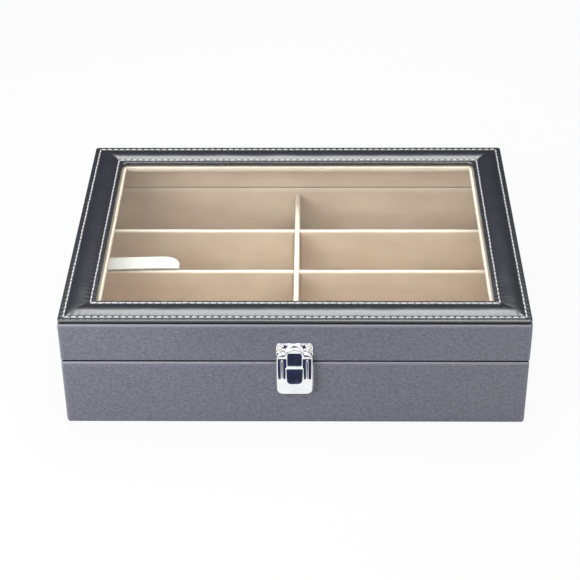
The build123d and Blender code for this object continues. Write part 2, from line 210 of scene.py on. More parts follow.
# %% Outlines, and profiles carried round them
def quarter(steps):
    """Angles from 0 to a right angle."""
    return np.linspace(0, np.pi / 2, steps + 1)


def rounded_loop(reach_x, reach_y, radius, along_x, along_y, turns=5, pull=0.9):
    """A closed anticlockwise rectangle with round corners: four quarter circles, of one radius or
    of four, joined by sides whose points crowd towards the corners."""
    share = np.linspace(0, 1, along_x + 1), np.linspace(0, 1, along_y + 1)
    share = [s - pull * np.sin(2 * np.pi * s) / (2 * np.pi) for s in share]
    signs = [(1, -1), (1, 1), (-1, 1), (-1, -1)]
    arcs = []
    for number, (sign, size) in enumerate(zip(signs, np.broadcast_to(radius, 4))):
        angle = quarter(turns) + (number - 1) * np.pi / 2
        centre = np.array(sign) * (reach_x - size, reach_y - size)
        arcs.append(centre + size * np.stack([np.cos(angle), np.sin(angle)], -1))
    parts = []
    for number, arc in enumerate(arcs):
        side = share[(number + 1) % 2][1:-1, None]
        following = arcs[(number + 1) % 4][0]
        parts += [arc, arc[-1] + side * (following - arc[-1])]
    return np.concatenate([*parts, arcs[0][:1]])


def loop_places(along_x, along_y, turns):
    """A number for each point of such a loop: it grows by one along each arc and each side, up to
    eight after a whole turn."""
    parts = []
    for number in range(4):
        side = (along_y, along_x)[number % 2]
        arc = np.linspace(0, 1, turns + 1)
        straight = 1 + np.linspace(0, 1, side + 1)[1:-1]
        parts += [arc + 2 * number, straight + 2 * number]
    return np.concatenate([*parts, [8.0]])


def ring(insets, heights, loop_of):
    """Loops set inwards by each inset at each height, as one grid [profile point, column, xyz]."""
    loops = np.stack([loop_of(inset) for inset in insets])
    lift = np.broadcast_to(np.asarray(heights)[:, None, None], (*loops.shape[:2], 1))
    return np.concatenate([loops, lift], -1)


def lengths_along(points):
    """Distance walked along the last axis but one."""
    steps = np.linalg.norm(np.diff(points, axis=-2), axis=-1)
    return np.concatenate([np.zeros((*steps.shape[:-1], 1)), np.cumsum(steps, -1)], -1)


square = rounded_loop(1.0, 1.0, 0.2, 8, 8)
print("a rounded square of half size 1 measures", round(lengths_along(square)[-1], 3), "round")

# %% [markdown]
# ## A small kit for node materials
# A finish is read from back to front: a place on the surface, patterns at that place, and a shader
# that takes colour, roughness and bump from them. These helpers add one node each, so that a
# material reads like a recipe. Everything that is the same all over is set on the shader itself.


# %% Helpers for materials
def new_finish(name, **sockets):
    """A material, its tree, its shader and the object coordinates."""
    made = bpy.data.materials.new(name)
    made.use_nodes = True
    tree = made.node_tree
    shader = tree.nodes["Principled BSDF"]
    for socket, value in sockets.items():
        shader.inputs[socket.replace("_", " ").title().replace("Ior", "IOR")].default_value = value
    return made, tree, shader, add(tree, "ShaderNodeTexCoord").outputs["Object"]


def add(tree, kind, inputs=None, **settings):
    """A node with its settings, and each input filled with a value or joined to a socket."""
    made = tree.nodes.new(kind)
    for key, value in settings.items():
        setattr(made, key, value)
    for key, value in (inputs or {}).items():
        if isinstance(value, bpy.types.NodeSocket):
            tree.links.new(value, made.inputs[key])
        else:
            made.inputs[key].default_value = value
    return made


def noise(tree, place, scale, detail=3.0, rough=0.5):
    """Cloudy noise of 0 to 1, with that many features a metre."""
    inputs = {"Vector": place, "Scale": scale, "Detail": detail, "Roughness": rough}
    return add(tree, "ShaderNodeTexNoise", inputs).outputs[0]


def spread(tree, value, low, high, to_low=0.0, to_high=1.0):
    """A value between low and high, stretched to a new range and clamped to it."""
    inputs = {"Value": value, 1: low, 2: high, 3: to_low, 4: to_high}
    return add(tree, "ShaderNodeMapRange", inputs).outputs[0]


def reckon(tree, operation, *values):
    """One or two values put through an operation such as ADD, MULTIPLY or SINE."""
    return add(tree, "ShaderNodeMath", dict(enumerate(values)), operation=operation).outputs[0]


def weighed(tree, first, first_share, second, second_share):
    """Two values added, each times its share."""
    first = reckon(tree, "MULTIPLY", first, first_share)
    second = reckon(tree, "MULTIPLY", second, second_share)
    return reckon(tree, "ADD", first, second)


def tint(tree, share, low, high):
    """A colour between two colours."""
    inputs = {0: share, 6: low, 7: high}
    return add(tree, "ShaderNodeMix", inputs, data_type="RGBA").outputs[2]


def stretched(tree, place, scale):
    """Coordinates scaled apart on each axis, for streaks."""
    return add(tree, "ShaderNodeMapping", {"Vector": place, "Scale": scale}).outputs[0]


def own_place(tree):
    """The piece's own u and v in its unfolded pattern, apart."""
    pattern = add(tree, "ShaderNodeTexCoord").outputs["UV"]
    return add(tree, "ShaderNodeSeparateXYZ", {0: pattern}).outputs[:2]


def relief(tree, shader, height, depth, strength=1.0, under=None):
    """Bump of a depth in metres on the shader."""
    inputs = {"Height": height, "Distance": depth, "Strength": strength}
    if under is not None:
        inputs["Normal"] = under
    made = add(tree, "ShaderNodeBump", inputs)
    tree.links.new(made.outputs[0], shader.inputs["Normal"])
    return made.outputs[0]


def mark(tree, name):
    """A named mark that the mesh carries."""
    return add(tree, "ShaderNodeAttribute", attribute_name=name).outputs["Fac"]


def join(tree, value, shader, socket):
    """Joins a value to one of the shader's sockets."""
    tree.links.new(value, shader.inputs[socket])


# %% [markdown]
# ## Leatherette
# The covering is a coated cloth with a printed grain: short creases, two or three millimetres
# long, that run level along the walls, over small cells and finer pores. Noise that is squeezed
# along Z and bent by other noise gives the creases, and Voronoi cells give the grain between them.
# The coat is a little paler where it is stretched over an edge. That paler edge also stands in
# for the light that a rounded edge catches, so it is partly wear and partly a painted highlight; a
# mark on the mesh says where. The turned hems in the seams, the underside of the frame's lip and the
# needle holes are painted near black. That is painted shade, because these gaps and holes lie in shadow,
# and another mark on the mesh says where. The padded frame has the same grain under a glossier coat.
# The walls' copy is painted several times paler, which stands in for the light that the upright walls
# catch. A photographed grain would need unwrapping on each piece, while noise on the piece's own
# coordinates runs on from one side to the next.


# %% Leatherette for the walls and for the lid's padded frame
def leatherette(name, valley, hill, edge, rough_low, rough_high, depth, gloss):
    """Level creases and small cells: what lies low is darker and rougher."""
    made, tree, coat, place = new_finish(
        name, specular_ior_level=0.5 + gloss / 2, coat_weight=gloss, coat_roughness=0.14
    )
    bend = add(tree, "ShaderNodeTexNoise", {"Vector": place, "Scale": 170.0, "Detail": 2.0})
    push = add(tree, "ShaderNodeVectorMath", {0: bend.outputs["Color"], 3: 0.004}, operation="SCALE")
    bent = add(tree, "ShaderNodeVectorMath", {0: place, 1: push.outputs[0]}).outputs[0]
    level_way = stretched(tree, bent, (1, 1, 2.2))
    crease = spread(tree, noise(tree, level_way, scale=430.0, detail=2.0, rough=0.45), 0.30, 0.70)
    cells = add(
        tree, "ShaderNodeTexVoronoi", {"Vector": level_way, "Scale": 380.0}, feature="DISTANCE_TO_EDGE"
    ).outputs["Distance"]
    grain = spread(tree, cells, 0.0, 0.25)
    pores = noise(tree, place, scale=1900.0, detail=2.0)
    body = weighed(tree, crease, 0.75, grain, 0.25)
    height = weighed(tree, body, 1.0, pores, 0.25)
    cloud = noise(tree, place, scale=9.0)
    shade = spread(tree, weighed(tree, body, 1.0, cloud, 0.2), 0.15, 1.0)
    skin = tint(tree, shade, valley, hill)
    # Paler coat where the mesh marks rims and corners, broken up by the pores: partly wear, partly a
    # painted highlight for the light that rounded edges catch.
    rubbed = spread(tree, pores, 0.3, 0.7, 0.4, 1.0)
    wear_and_highlight_share = reckon(tree, "MULTIPLY", mark(tree, "wear_and_highlight"), rubbed)
    skin = tint(tree, wear_and_highlight_share, skin, edge)
    # Painted shade: where the mesh marks hems, the frame's lip and needle holes, the colour turns near
    # black.
    join(tree, tint(tree, mark(tree, "painted_shade"), skin, (0.002, 0.002, 0.003, 1)), coat, "Base Color")
    join(tree, spread(tree, shade, 0.0, 1.0, rough_high, rough_low), coat, "Roughness")
    relief(tree, coat, height, depth, strength=0.8)
    return made


# The walls' copy is painted several times paler than the frame's. That is painted light, standing in for
# the light that the upright walls catch; both copies have the same grain.
wall_leather_painted_lighter = leatherette(
    "wall_leatherette_painted_lighter",
    valley=(0.083, 0.088, 0.115, 1), hill=(0.160, 0.168, 0.210, 1), edge=(0.32, 0.325, 0.36, 1),
    rough_low=0.36, rough_high=0.50, depth=0.12 * mm, gloss=0.1,
)
panel_leather = leatherette(
    "panel_leatherette",
    valley=(0.019, 0.021, 0.028, 1), hill=(0.036, 0.039, 0.050, 1), edge=(0.07, 0.073, 0.088, 1),
    rough_low=0.20, rough_high=0.28, depth=0.035 * mm, gloss=0.68,
)
print("leatherette finishes", wall_leather_painted_lighter.name, panel_leather.name)

# %% [markdown]
# ## Velvet, card, board and paper
# Short velvet looks soft because its pile catches light at grazing angles. Sheen on the shader
# does that, a fine noise stands for the tips of the pile, and slow clouds stand for pile that has
# been brushed one way or the other. Real hairs would be far too many for so large a lining. The
# tops of the dividers and of the base's linings are painted paler where the mesh marks them. That
# is painted light, standing in for the light from above. Board and card are only seen where the
# covering stops, so they stay plain fibre.


# %% Velvet with a pale crest, and the bare fibre finishes
def velvet_pile(name, low, high, crest):
    """Brushed pile: clouds tint it, fine tips roughen it, and painted light makes the marked tops paler."""
    made, tree, pile, place = new_finish(
        name, roughness=0.92, sheen_weight=0.35, sheen_roughness=0.45, sheen_tint=(1.0, 0.94, 0.85, 1)
    )
    brushed = noise(tree, stretched(tree, place, (1, 1, 1.8)), scale=26.0, detail=4.0, rough=0.55)
    tips = noise(tree, place, scale=2400.0, detail=2.0)
    shade = weighed(tree, brushed, 0.75, tips, 0.25)
    colour = tint(tree, spread(tree, shade, 0.35, 0.65), low, high)
    # Painted light: where the mesh marks a top, the colour turns to the paler crest colour.
    join(tree, tint(tree, mark(tree, "crest"), colour, crest), pile, "Base Color")
    under = relief(tree, pile, brushed, 0.25 * mm, strength=0.35)
    relief(tree, pile, tips, 0.12 * mm, strength=0.6, under=under)
    return made


def fibre(name, low, high, rough, scale, depth):
    """Pressed fibre: short flecks lying every way."""
    made, tree, stock, place = new_finish(name, roughness=rough)
    flecks = noise(tree, stretched(tree, place, (1, 2.5, 1)), scale, detail=5.0, rough=0.65)
    join(tree, tint(tree, spread(tree, flecks, 0.3, 0.7), low, high), stock, "Base Color")
    relief(tree, stock, flecks, depth, strength=0.6)
    return made


# The crest colours are painted light: paler tops stand in for the light from above.
velvet = velvet_pile(
    "tan_velvet", low=(0.55, 0.432, 0.322, 1), high=(0.66, 0.53, 0.41, 1), crest=(0.79, 0.695, 0.60, 1)
)
cream_trim = velvet_pile(
    "cream_trim", low=(0.68, 0.59, 0.495, 1), high=(0.78, 0.69, 0.59, 1), crest=(0.82, 0.74, 0.65, 1)
)
pressed_board = fibre(
    "pressed_board", (0.30, 0.24, 0.17, 1), (0.45, 0.37, 0.28, 1), rough=0.85, scale=420.0, depth=0.1 * mm
)
grey_card = fibre(
    "grey_card", (0.27, 0.26, 0.24, 1), (0.36, 0.35, 0.33, 1), rough=0.8, scale=700.0, depth=0.05 * mm
)
base_paper = fibre(
    "underside_paper", (0.016, 0.016, 0.018, 1), (0.034, 0.034, 0.037, 1),
    rough=0.7, scale=900.0, depth=0.06 * mm,
)
print("lining finishes", velvet.name, cream_trim.name, pressed_board.name, grey_card.name, base_paper.name)

# %% [markdown]
# ## Plate, pane, thread and tape
# The latch is bright nickel, which shows mostly what stands round it, so only its roughness and a
# few fine rubbing marks are its own. The hinges are the same plate, duller. The pane is clear
# glass: its shadow ray passes straight through, which keeps the inside as light as it is in the
# real case. Thread and tape follow their own length, so their twist and weave read the unfolded
# pattern instead of the object's coordinates.


# %% Plated metal and clear glass
def plated(name, colour, rough_low, rough_high, rub):
    """Polished plate with slow smears and fine rubbing marks in its roughness and relief."""
    made, tree, plate, place = new_finish(name, metallic=1.0)
    smears = noise(tree, place, scale=160.0)
    marks = noise(tree, stretched(tree, place, (1, 1, 12)), scale=900.0, detail=2.0)
    join(tree, spread(tree, smears, 0.3, 0.7, rough_low, rough_high), plate, "Roughness")
    low = tuple(value * 0.93 for value in colour)
    join(tree, tint(tree, spread(tree, smears, 0.35, 0.65), (*low, 1), (*colour, 1)), plate, "Base Color")
    relief(tree, plate, marks, rub, strength=0.35)
    return made


def window_glass(name):
    """Clear glass with a faint green edge; a shadow ray sees it as open."""
    made, tree, glass, place = new_finish(
        name, base_color=(0.97, 0.99, 0.98, 1), transmission_weight=1.0, ior=1.48, specular_ior_level=0.3
    )
    haze = spread(tree, noise(tree, place, scale=20.0, detail=2.0), 0.3, 0.7, 0.0, 0.015)
    join(tree, haze, glass, "Roughness")
    open_path = add(tree, "ShaderNodeBsdfTransparent", {"Color": (0.96, 0.98, 0.97, 1)})
    shadow = add(tree, "ShaderNodeLightPath").outputs["Is Shadow Ray"]
    either = add(tree, "ShaderNodeMixShader", {0: shadow, 1: glass.outputs[0], 2: open_path.outputs[0]})
    tree.links.new(either.outputs[0], tree.nodes["Material Output"].inputs["Surface"])
    return made


bright_plate = plated(
    "bright_plate", (0.95, 0.955, 0.965), rough_low=0.04, rough_high=0.10, rub=0.002 * mm
)
pale_rivet = plated("pale_rivet", (0.94, 0.92, 0.87), rough_low=0.28, rough_high=0.40, rub=0.010 * mm)
dull_plate = plated("dull_plate", (0.66, 0.65, 0.62), rough_low=0.16, rough_high=0.30, rub=0.010 * mm)
spring_wire = plated("spring_wire", (0.45, 0.45, 0.46), rough_low=0.25, rough_high=0.40, rub=0.010 * mm)
pane_glass = window_glass("pane_glass")
print("hardware finishes", bright_plate.name, pale_rivet.name, dull_plate.name, pane_glass.name)


# %% Thread and woven tape
def spun(name, low, high, pitch, lean):
    """Plied thread: stripes that lean across the length of each stitch, a sine of its own u and v."""
    made, tree, yarn, _ = new_finish(name, roughness=0.6, sheen_weight=0.3)
    along, around = own_place(tree)
    ply = reckon(tree, "SINE", weighed(tree, along, pitch, around, lean))
    join(tree, tint(tree, spread(tree, ply, -1.0, 1.0), low, high), yarn, "Base Color")
    relief(tree, yarn, ply, 0.08 * mm, strength=0.7)
    return made


def woven(name, low, high, pitch):
    """Satin tape: fine ribs that cross, as one sine along the tape times one across it."""
    made, tree, cloth, place = new_finish(name, roughness=0.55, sheen_weight=0.4)
    weft, warp = (
        reckon(tree, "SINE", reckon(tree, "MULTIPLY", travel, pitch)) for travel in own_place(tree)
    )
    weave = reckon(tree, "MULTIPLY", weft, warp)
    soil = noise(tree, place, scale=90.0)
    shade = weighed(tree, spread(tree, weave, -1.0, 1.0, 0.0, 0.5), 1.0, soil, 0.5)
    join(tree, tint(tree, shade, low, high), cloth, "Base Color")
    relief(tree, cloth, weave, 0.06 * mm, strength=0.7)
    return made


white_thread = spun(
    "white_thread", (0.76, 0.76, 0.76, 1), (0.94, 0.94, 0.93, 1), pitch=9000.0, lean=6.0
)
satin_tape = woven("satin_tape", (0.58, 0.57, 0.55, 1), (0.76, 0.75, 0.72, 1), pitch=9000.0)
print("textile finishes", white_thread.name, satin_tape.name)

# %% [markdown]
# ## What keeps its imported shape
# Boards, cards, the pane and the hinges are flat or turned parts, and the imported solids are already
# right. Most of them lie hidden behind leather or velvet, so a finish is all that they need.

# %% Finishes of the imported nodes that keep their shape
wall_sides = "front", "back", "left", "right"
wall_boards = [f"{part}_{side}_board" for part in ("base", "lid") for side in wall_sides]
divider_cores = [f"cross_divider_{number}_core" for number in (1, 2, 3)]
hinge_parts = [
    f"hinge_{side}_{part}" for side in ("left", "right") for part in ("base_leaf", "lid_leaf", "pin")
]
dress(pressed_board, "base_floor_board", "lid_top_board", *wall_boards)
dress(grey_card, "centre_divider_core", *divider_cores)
dress(base_paper, "underside_sheet", "panel_card")
dress(pane_glass, "window_pane")
dress(dull_plate, *hinge_parts)
dress(bright_plate, "latch_base_plate", "latch_pin")
dress(spring_wire, "latch_spring")

# %% [markdown]
# ## The leather wraps of the base and the lid
# Each wrap is one strip glued round four boards and turned over their edges, so its section is a
# C: up the outside, over the rim, a short way down inside. A profile carried round a rounded
# rectangle gives that in one go, where a block with bevels would need its inside cut out first. The
# rims are round, as padded board edges are, and along the lid's upper edge the wrap stays below the
# panel, which leaves the dark slot seen in the photo.

# %% The section of a wrap
wrap_depth = 6 * mm
wrap_thickness = 1 * mm
wrap_columns = 72, 54
corner_round = 1.6 * mm
inner_round = 0.4 * mm
lip_reach = 5 * mm
lip_rows = 14
lip_depth = 2.5 * mm
lip_crease = 0.45 * mm
wave_height = 0.13 * mm
wave_length = 70 * mm
wave_fade = 5 * mm
wear_and_highlight_reach = 1.6 * mm
corner_wear_and_highlight = 0.5
hem_start = 1.2 * mm
hem_painted_shade = 0.9
slot_drop = 0.9 * mm
seam_drop = 0.6 * mm


def wrap_loop(inset):
    """The wrap's outline, that far inside its outer face."""
    radius = max(corner_round - inset, inner_round)
    return rounded_loop(half_x - inset, half_y - inset, radius, *wrap_columns)


def wrap_profile(bottom, top, bottom_round, top_round, face_rows):
    """Insets and heights up the outside, over the rim and back behind the strip; the rows crowd
    along the lip below the rim."""
    turn = quarter(6)
    face = np.concatenate([
        np.linspace(bottom + bottom_round, top - lip_reach, face_rows)[1:],
        np.linspace(top - lip_reach, top - top_round, lip_rows)[1:-1],
    ])
    hem = wrap_depth - inner_round
    inset = np.concatenate([
        bottom_round * (1 - np.sin(turn)), 0 * face, top_round * (1 - np.cos(turn)),
        hem + inner_round * np.sin(turn), [wrap_depth, wrap_thickness, wrap_thickness, wrap_depth],
        hem + inner_round * np.sin(turn[::-1]), [bottom_round],
    ])
    height = np.concatenate([
        bottom + bottom_round * (1 - np.cos(turn)), face, top - top_round + top_round * np.sin(turn),
        top - inner_round * (1 - np.cos(turn)),
        [top - wrap_thickness, top - wrap_thickness, bottom + wrap_thickness, bottom + wrap_thickness],
        bottom + inner_round * (1 - np.cos(turn[::-1])), [bottom],
    ])
    return inset, height


print("a wrap turns in by", round(wrap_depth / mm, 1), "mm at both of its rims")


# %% The two wraps
def leather_wrap(name, body, node, bottom, top, bottom_round, top_round, face_rows, crease, seed):
    """A closed strip with the profile above. Its outer face waves slightly, and below the rim the
    board's rounded lip ends in a shallow crease."""
    inset, height = wrap_profile(bottom, top, bottom_round, top_round, face_rows)
    points = ring(inset, height, wrap_loop)
    outward = (wrap_loop(0) - wrap_loop(1 * mm)) / (1 * mm)
    level = points[..., 2]
    flat = soft_step(level, bottom, bottom + wave_fade) * (1 - soft_step(level, top - wave_fade, top))
    swell = wave_height * ripple(points, wave_length, seed) * flat
    swell -= crease * np.exp(-((top - level - lip_depth) / lip_crease) ** 2)
    swell *= inset[:, None] < wrap_thickness
    points[..., :2] += outward * swell[..., None]
    across = np.maximum(half_x - abs(points[..., 0]), half_y - abs(points[..., 1]))
    # The paler coat along the rims and upright corners is partly wear and partly a painted highlight for
    # the light that rounded edges catch.
    rim_wear_and_highlight = np.exp(-((top - level) / wear_and_highlight_reach) ** 2)
    side_wear_and_highlight = corner_wear_and_highlight * np.exp(-(across / wear_and_highlight_reach) ** 2)
    wear_and_highlight = np.maximum(rim_wear_and_highlight, side_wear_and_highlight) * (inset[:, None] < hem_start)
    # Painted shade: the turned hem is painted near black, for the shadow in the seam between lid and base
    # and in the slot under the frame.
    hem = soft_step(inset, 0.7 * hem_start, hem_start)
    painted_shade = hem_painted_shade * np.broadcast_to(hem[:, None], level.shape)
    piece = surface(name, [points], marks={"wear_and_highlight": [wear_and_highlight], "painted_shade": [painted_shade]})
    install(piece, body, wall_leather_painted_lighter, [node])


leather_wrap(
    "base_wrap", "base", "base_skin", bottom=base_bottom, top=base_rim - seam_drop,
    bottom_round=0.9 * mm, top_round=1.3 * mm, face_rows=18, crease=0.40 * mm, seed=3,
)
leather_wrap(
    "lid_wrap", "lid", "lid_skin", bottom=lid_rim + seam_drop, top=lid_top - slot_drop,
    bottom_round=0.6 * mm, top_round=1.5 * mm, face_rows=12, crease=0.10 * mm, seed=4,
)

# %% [markdown]
# ## The padded window frame
# The lid's top is card and foam under thin leather, pulled down by two lines of stitches. Between
# the lines the foam pushes the leather up. The height at a point comes from how far it is from
# each seam: it is nothing at a seam and full half way. Each seam is a groove that dips further
# where the needle went through, and short puckers run out from those holes. Sculpting would give
# that for one seam, but a formula follows all eight sides and stays in step with the stitches.

# %% Heights of the padded frame
seam_to_side = 4.4 * mm
frame_width = 25 * mm
seam_to_window = 3.4 * mm
panel_thickness = 2.6 * mm
outer_seam = half_x - seam_to_side, half_y - seam_to_side
window_edge = half_x - frame_width, half_y - frame_width
inner_seam = window_edge[0] + seam_to_window, window_edge[1] + seam_to_window
flat_top = panel_bottom + panel_thickness
mitre_softness = 1.2 * mm
stitch_pitch = 5.0 * mm
seam_groove = 0.30 * mm
seam_width = 0.60 * mm
hole_dip = 0.45
pucker_depth = 0.16 * mm
pucker_reach = 2.6 * mm


def smaller(first, second, softness):
    """The smaller of two distances, with the crease where they meet rounded off."""
    return -softness * np.logaddexp(-first / softness, -second / softness)


def seam_distance(points, seam):
    """How far points lie from a rectangular seam: positive outside it, negative inside."""
    over = abs(points[..., :2]) - np.array(seam)
    outside = np.hypot(np.maximum(over[..., 0], 0), np.maximum(over[..., 1], 0))
    inside = smaller(-over[..., 0], -over[..., 1], mitre_softness)
    return np.where(over.max(-1) > 0, outside, -inside)


def hole_wave(points, seam):
    """1 at the needle holes and 0 half way between them, along the nearest side of a seam."""
    over = abs(points[..., :2]) - np.array(seam)
    along_x = over[..., 1] > over[..., 0]
    side = np.where(along_x, seam[0], seam[1])
    travel = np.where(along_x, points[..., 0], points[..., 1]) + side
    count = np.round(2 * side / stitch_pitch)
    return 0.5 + 0.5 * np.cos(2 * np.pi * travel * count / (2 * side))


def seam_relief(points):
    """Depth of the grooves and puckers that both seams press into the foam."""
    depth = 0
    for seam in (outer_seam, inner_seam):
        away = abs(seam_distance(points, seam))
        holes = hole_wave(points, seam)
        dip = 1 - hole_dip + hole_dip * holes
        depth = depth + seam_groove * dip * np.exp(-(away / seam_width) ** 2)
        depth = depth + pucker_depth * holes * np.exp(-away / pucker_reach)
    return depth


print("seams in millimetres from the middle", np.round(np.array([outer_seam, inner_seam]) / mm, 1))

# %% [markdown]
# ## The crown by cloth simulation
# Foam under leather that is sewn down on both sides is a pressed cloth with two pinned edges, so
# the crown is simulated: a ring of cloth, ten times the real size because the solver likes larger
# faces, is pinned at both seams and blown up without gravity. A trace of spare cloth lets it bulge
# and crease a little. Only its heights are kept, as a smooth curve across each place of the ring,
# so the fine mesh of the frame can follow them.

# %% Curves across the crown
crown = 1.6 * mm
crown_cap = 4.0 * mm
cloth_rows, cloth_x, cloth_y = 12, 84, 62
cloth_turns = 1
cloth_corner = 0.6 * mm
cloth_scale = 10
cloth_frames = 20
cloth_quality = 6
spare_cloth = 0.001
cloth_pressure = 20.0
cloth_start = 0.9
seam_inset = panel_x - outer_seam[0], panel_x - inner_seam[0]
curve_count = 5
pull_along_side = 0.15


def crown_basis(share):
    """Curves across the pad that are nothing at both seams: a dome, and the dome times powers."""
    return dome(share)[:, None] * (2 * share - 1)[:, None] ** np.arange(curve_count)


def crown_curves(heights):
    """The weights of those curves that fit each column of heights best."""
    return np.linalg.lstsq(crown_basis(np.linspace(0, 1, cloth_rows)), heights, rcond=None)[0]


def cloth_loop(inset):
    """The cloth's outline that far in from the frame's edge, with nearly sharp corners."""
    reach_x, reach_y = panel_x - inset, panel_y - inset
    return rounded_loop(reach_x, reach_y, cloth_corner, cloth_x, cloth_y, cloth_turns, pull_along_side)


print("the cloth runs from", round(seam_inset[0] / mm, 1), "to", round(seam_inset[1] / mm, 1), "mm in")


# %% The simulated crown
def cloth_ring():
    """A ring of cloth between the seams, with no doubled column, and its faces."""
    share = np.linspace(0, 1, cloth_rows)
    inset = seam_inset[0] + (seam_inset[1] - seam_inset[0]) * share
    points = ring(inset, cloth_start * crown * dome(share), cloth_loop)[:, :-1]
    index = np.arange(points[..., 0].size).reshape(points.shape[:2])
    ahead = np.roll(index, -1, 1)
    faces = np.stack([index[:-1], ahead[:-1], ahead[1:], index[1:]], -1).reshape(-1, 4)
    return points, index[[0, -1]].ravel(), faces


def blown_cloth():
    """Heights [row, column] of a cloth ring that is pinned at both seams and blown up."""
    points, pinned, faces = cloth_ring()
    mesh = bpy.data.meshes.new("pad_cloth")
    mesh.from_pydata((points.reshape(-1, 3) * cloth_scale).tolist(), [], faces.tolist())
    pad = bpy.data.objects.new("pad_cloth", mesh)
    scene = bpy.context.scene
    scene.collection.objects.link(pad)
    pad.vertex_groups.new(name="seam").add(pinned.tolist(), 1.0, "REPLACE")
    cloth = pad.modifiers.new("Foam", "CLOTH")
    cloth.settings.quality = cloth_quality
    cloth.settings.vertex_group_mass = "seam"
    cloth.settings.use_pressure = True
    cloth.settings.uniform_pressure_force = cloth_pressure
    cloth.settings.shrink_min = -spare_cloth
    cloth.settings.effector_weights.gravity = 0
    cloth.collision_settings.use_collision = False
    for number in range(1, cloth_frames + 1):
        scene.frame_set(number)
    blown = pad.evaluated_get(bpy.context.evaluated_depsgraph_get()).data
    heights = np.empty(len(blown.vertices) * 3)
    blown.vertices.foreach_get("co", heights)
    scene.frame_set(1)
    bpy.data.objects.remove(pad)
    return heights.reshape(*points.shape)[..., 2] / cloth_scale


cloth_places = loop_places(cloth_x, cloth_y, cloth_turns)
cloth_heights = blown_cloth()
highest, mean = cloth_heights.max() / mm, cloth_heights.mean() / mm
print("cloth crown in millimetres, highest", round(highest, 2), "mean", round(mean, 2))
capped = crown_cap * np.tanh(np.maximum(cloth_heights, 0) / crown_cap)
crown_weights = crown_curves(capped)
crown_weights = np.concatenate([crown_weights, crown_weights[:, :1]], 1)

# %% [markdown]
# ## The frame's leather
# One skin covers the pad. It starts in the slot above the lid's wall, rolls round the lip, crosses
# the pad from seam to seam and turns down at the window. So it is again a profile carried round a
# rectangle, flat at first, and the crown, the waves and the seams are added where it faces up. That
# keeps the heights apart from the outline, and either can be changed alone.

# %% The frame's outline
edge_round = 0.8 * mm
outer_corner = 2.2 * mm
sharpest_corner = 0.25 * mm
edge_neck = 0.9 * mm
front_corner, back_corner = 0.8 * mm, 4.5 * mm
corner_growth = 3.2 * mm
border = panel_x - window_edge[0]
side_columns = 372, 270
corner_columns = 6


def panel_loop(inset):
    """The frame's outline that far in from its edge; its corners and the window's back ones are
    round."""
    grown = soft_step(inset, border - corner_growth, border)
    opened = np.array([front_corner, back_corner, back_corner, front_corner]) * grown
    radius = max(outer_corner - inset, sharpest_corner) + opened
    reach_x, reach_y = panel_x - inset, panel_y - inset
    return rounded_loop(reach_x, reach_y, radius, *side_columns, corner_columns, pull_along_side)


print("the frame's outline has", len(panel_loop(0)), "columns and is", round(border / mm, 1), "mm wide")

# %% The frame's leather
pad_rows = 54
pad_wave, pad_wave_length = 0.08 * mm, 26 * mm
border_fall = 0.14 * mm
panel_foot = lid_top - 0.05 * mm
lip_low = flat_top - 2 * edge_round
frame_edge_wear_and_highlight, frame_edge_wear_and_highlight_reach = 0.5, 1.1 * mm
hole_shade_reach = 0.75 * mm


def panel_profile():
    """Insets and heights from the neck over the slot, round the lip, over the pad and down the
    window's edge, all of it flat."""
    turn = quarter(5)
    rise, come = edge_round * (1 - np.cos(turn)), edge_round * (1 - np.sin(turn))
    across = np.linspace(edge_round, border - edge_round, pad_rows)[1:-1]
    inset = np.concatenate([[edge_neck, edge_neck], come, rise, across, border - come, [border, edge_neck]])
    height = np.concatenate([
        [panel_foot, lip_low], lip_low + rise, flat_top - come, 0 * across + flat_top, flat_top - rise,
        [panel_foot, panel_foot],
    ])
    return inset, height


def crown_lift(points, inset):
    """The crown from the fitted curves, with its waves; outside the outer seam the leather falls
    away to the lip."""
    share = np.clip((inset - seam_inset[0]) / (seam_inset[1] - seam_inset[0]), 0, 1)
    frame_places = loop_places(*side_columns, corner_columns)
    weights = np.stack([np.interp(frame_places, cloth_places, row) for row in crown_weights])
    lift = crown_basis(share) @ weights
    lift += pad_wave * ripple(points, pad_wave_length, 11) * dome(share)[:, None]
    return lift - border_fall * np.clip(1 - inset / seam_inset[0], 0, 1)[:, None]


def panel_leather_piece():
    """The profile carried round the frame, with the crown added and both seams pressed in."""
    inset, height = panel_profile()
    points = ring(inset, height, panel_loop)
    on_top = soft_step(points[..., 2], flat_top - edge_round, flat_top)
    points[..., 2] += (crown_lift(points, inset) - seam_relief(points)) * on_top
    # The paler coat along the frame's outer edge is partly wear and partly a painted highlight on the
    # rolled lip.
    over = np.minimum(abs(panel_x - abs(points[..., 0])), abs(panel_y - abs(points[..., 1])))
    wear_and_highlight = np.exp(-(over / frame_edge_wear_and_highlight_reach) ** 2) * frame_edge_wear_and_highlight
    # Painted shade: dark dots at the needle holes, which lie in shadow.
    painted_shade = sum(
        hole_wave(points, seam) ** 5 * np.exp(-(seam_distance(points, seam) / hole_shade_reach) ** 2)
        for seam in (outer_seam, inner_seam)
    ) * on_top
    # Painted shade: the underside of the rolled lip, in the shadow of the slot above the lid's wall, is
    # painted near black.
    under = 1 - soft_step(points[..., 2], lip_low + 0.3 * edge_round, lip_low + edge_round)
    painted_shade = np.maximum(painted_shade, under * (inset[:, None] < 2 * edge_round))
    return surface("window_frame_leather", [points], marks={"wear_and_highlight": [wear_and_highlight], "painted_shade": [painted_shade]})


frame_leather = panel_leather_piece()
install(frame_leather, "lid", panel_leather, ["panel_skin", "panel_foam"])

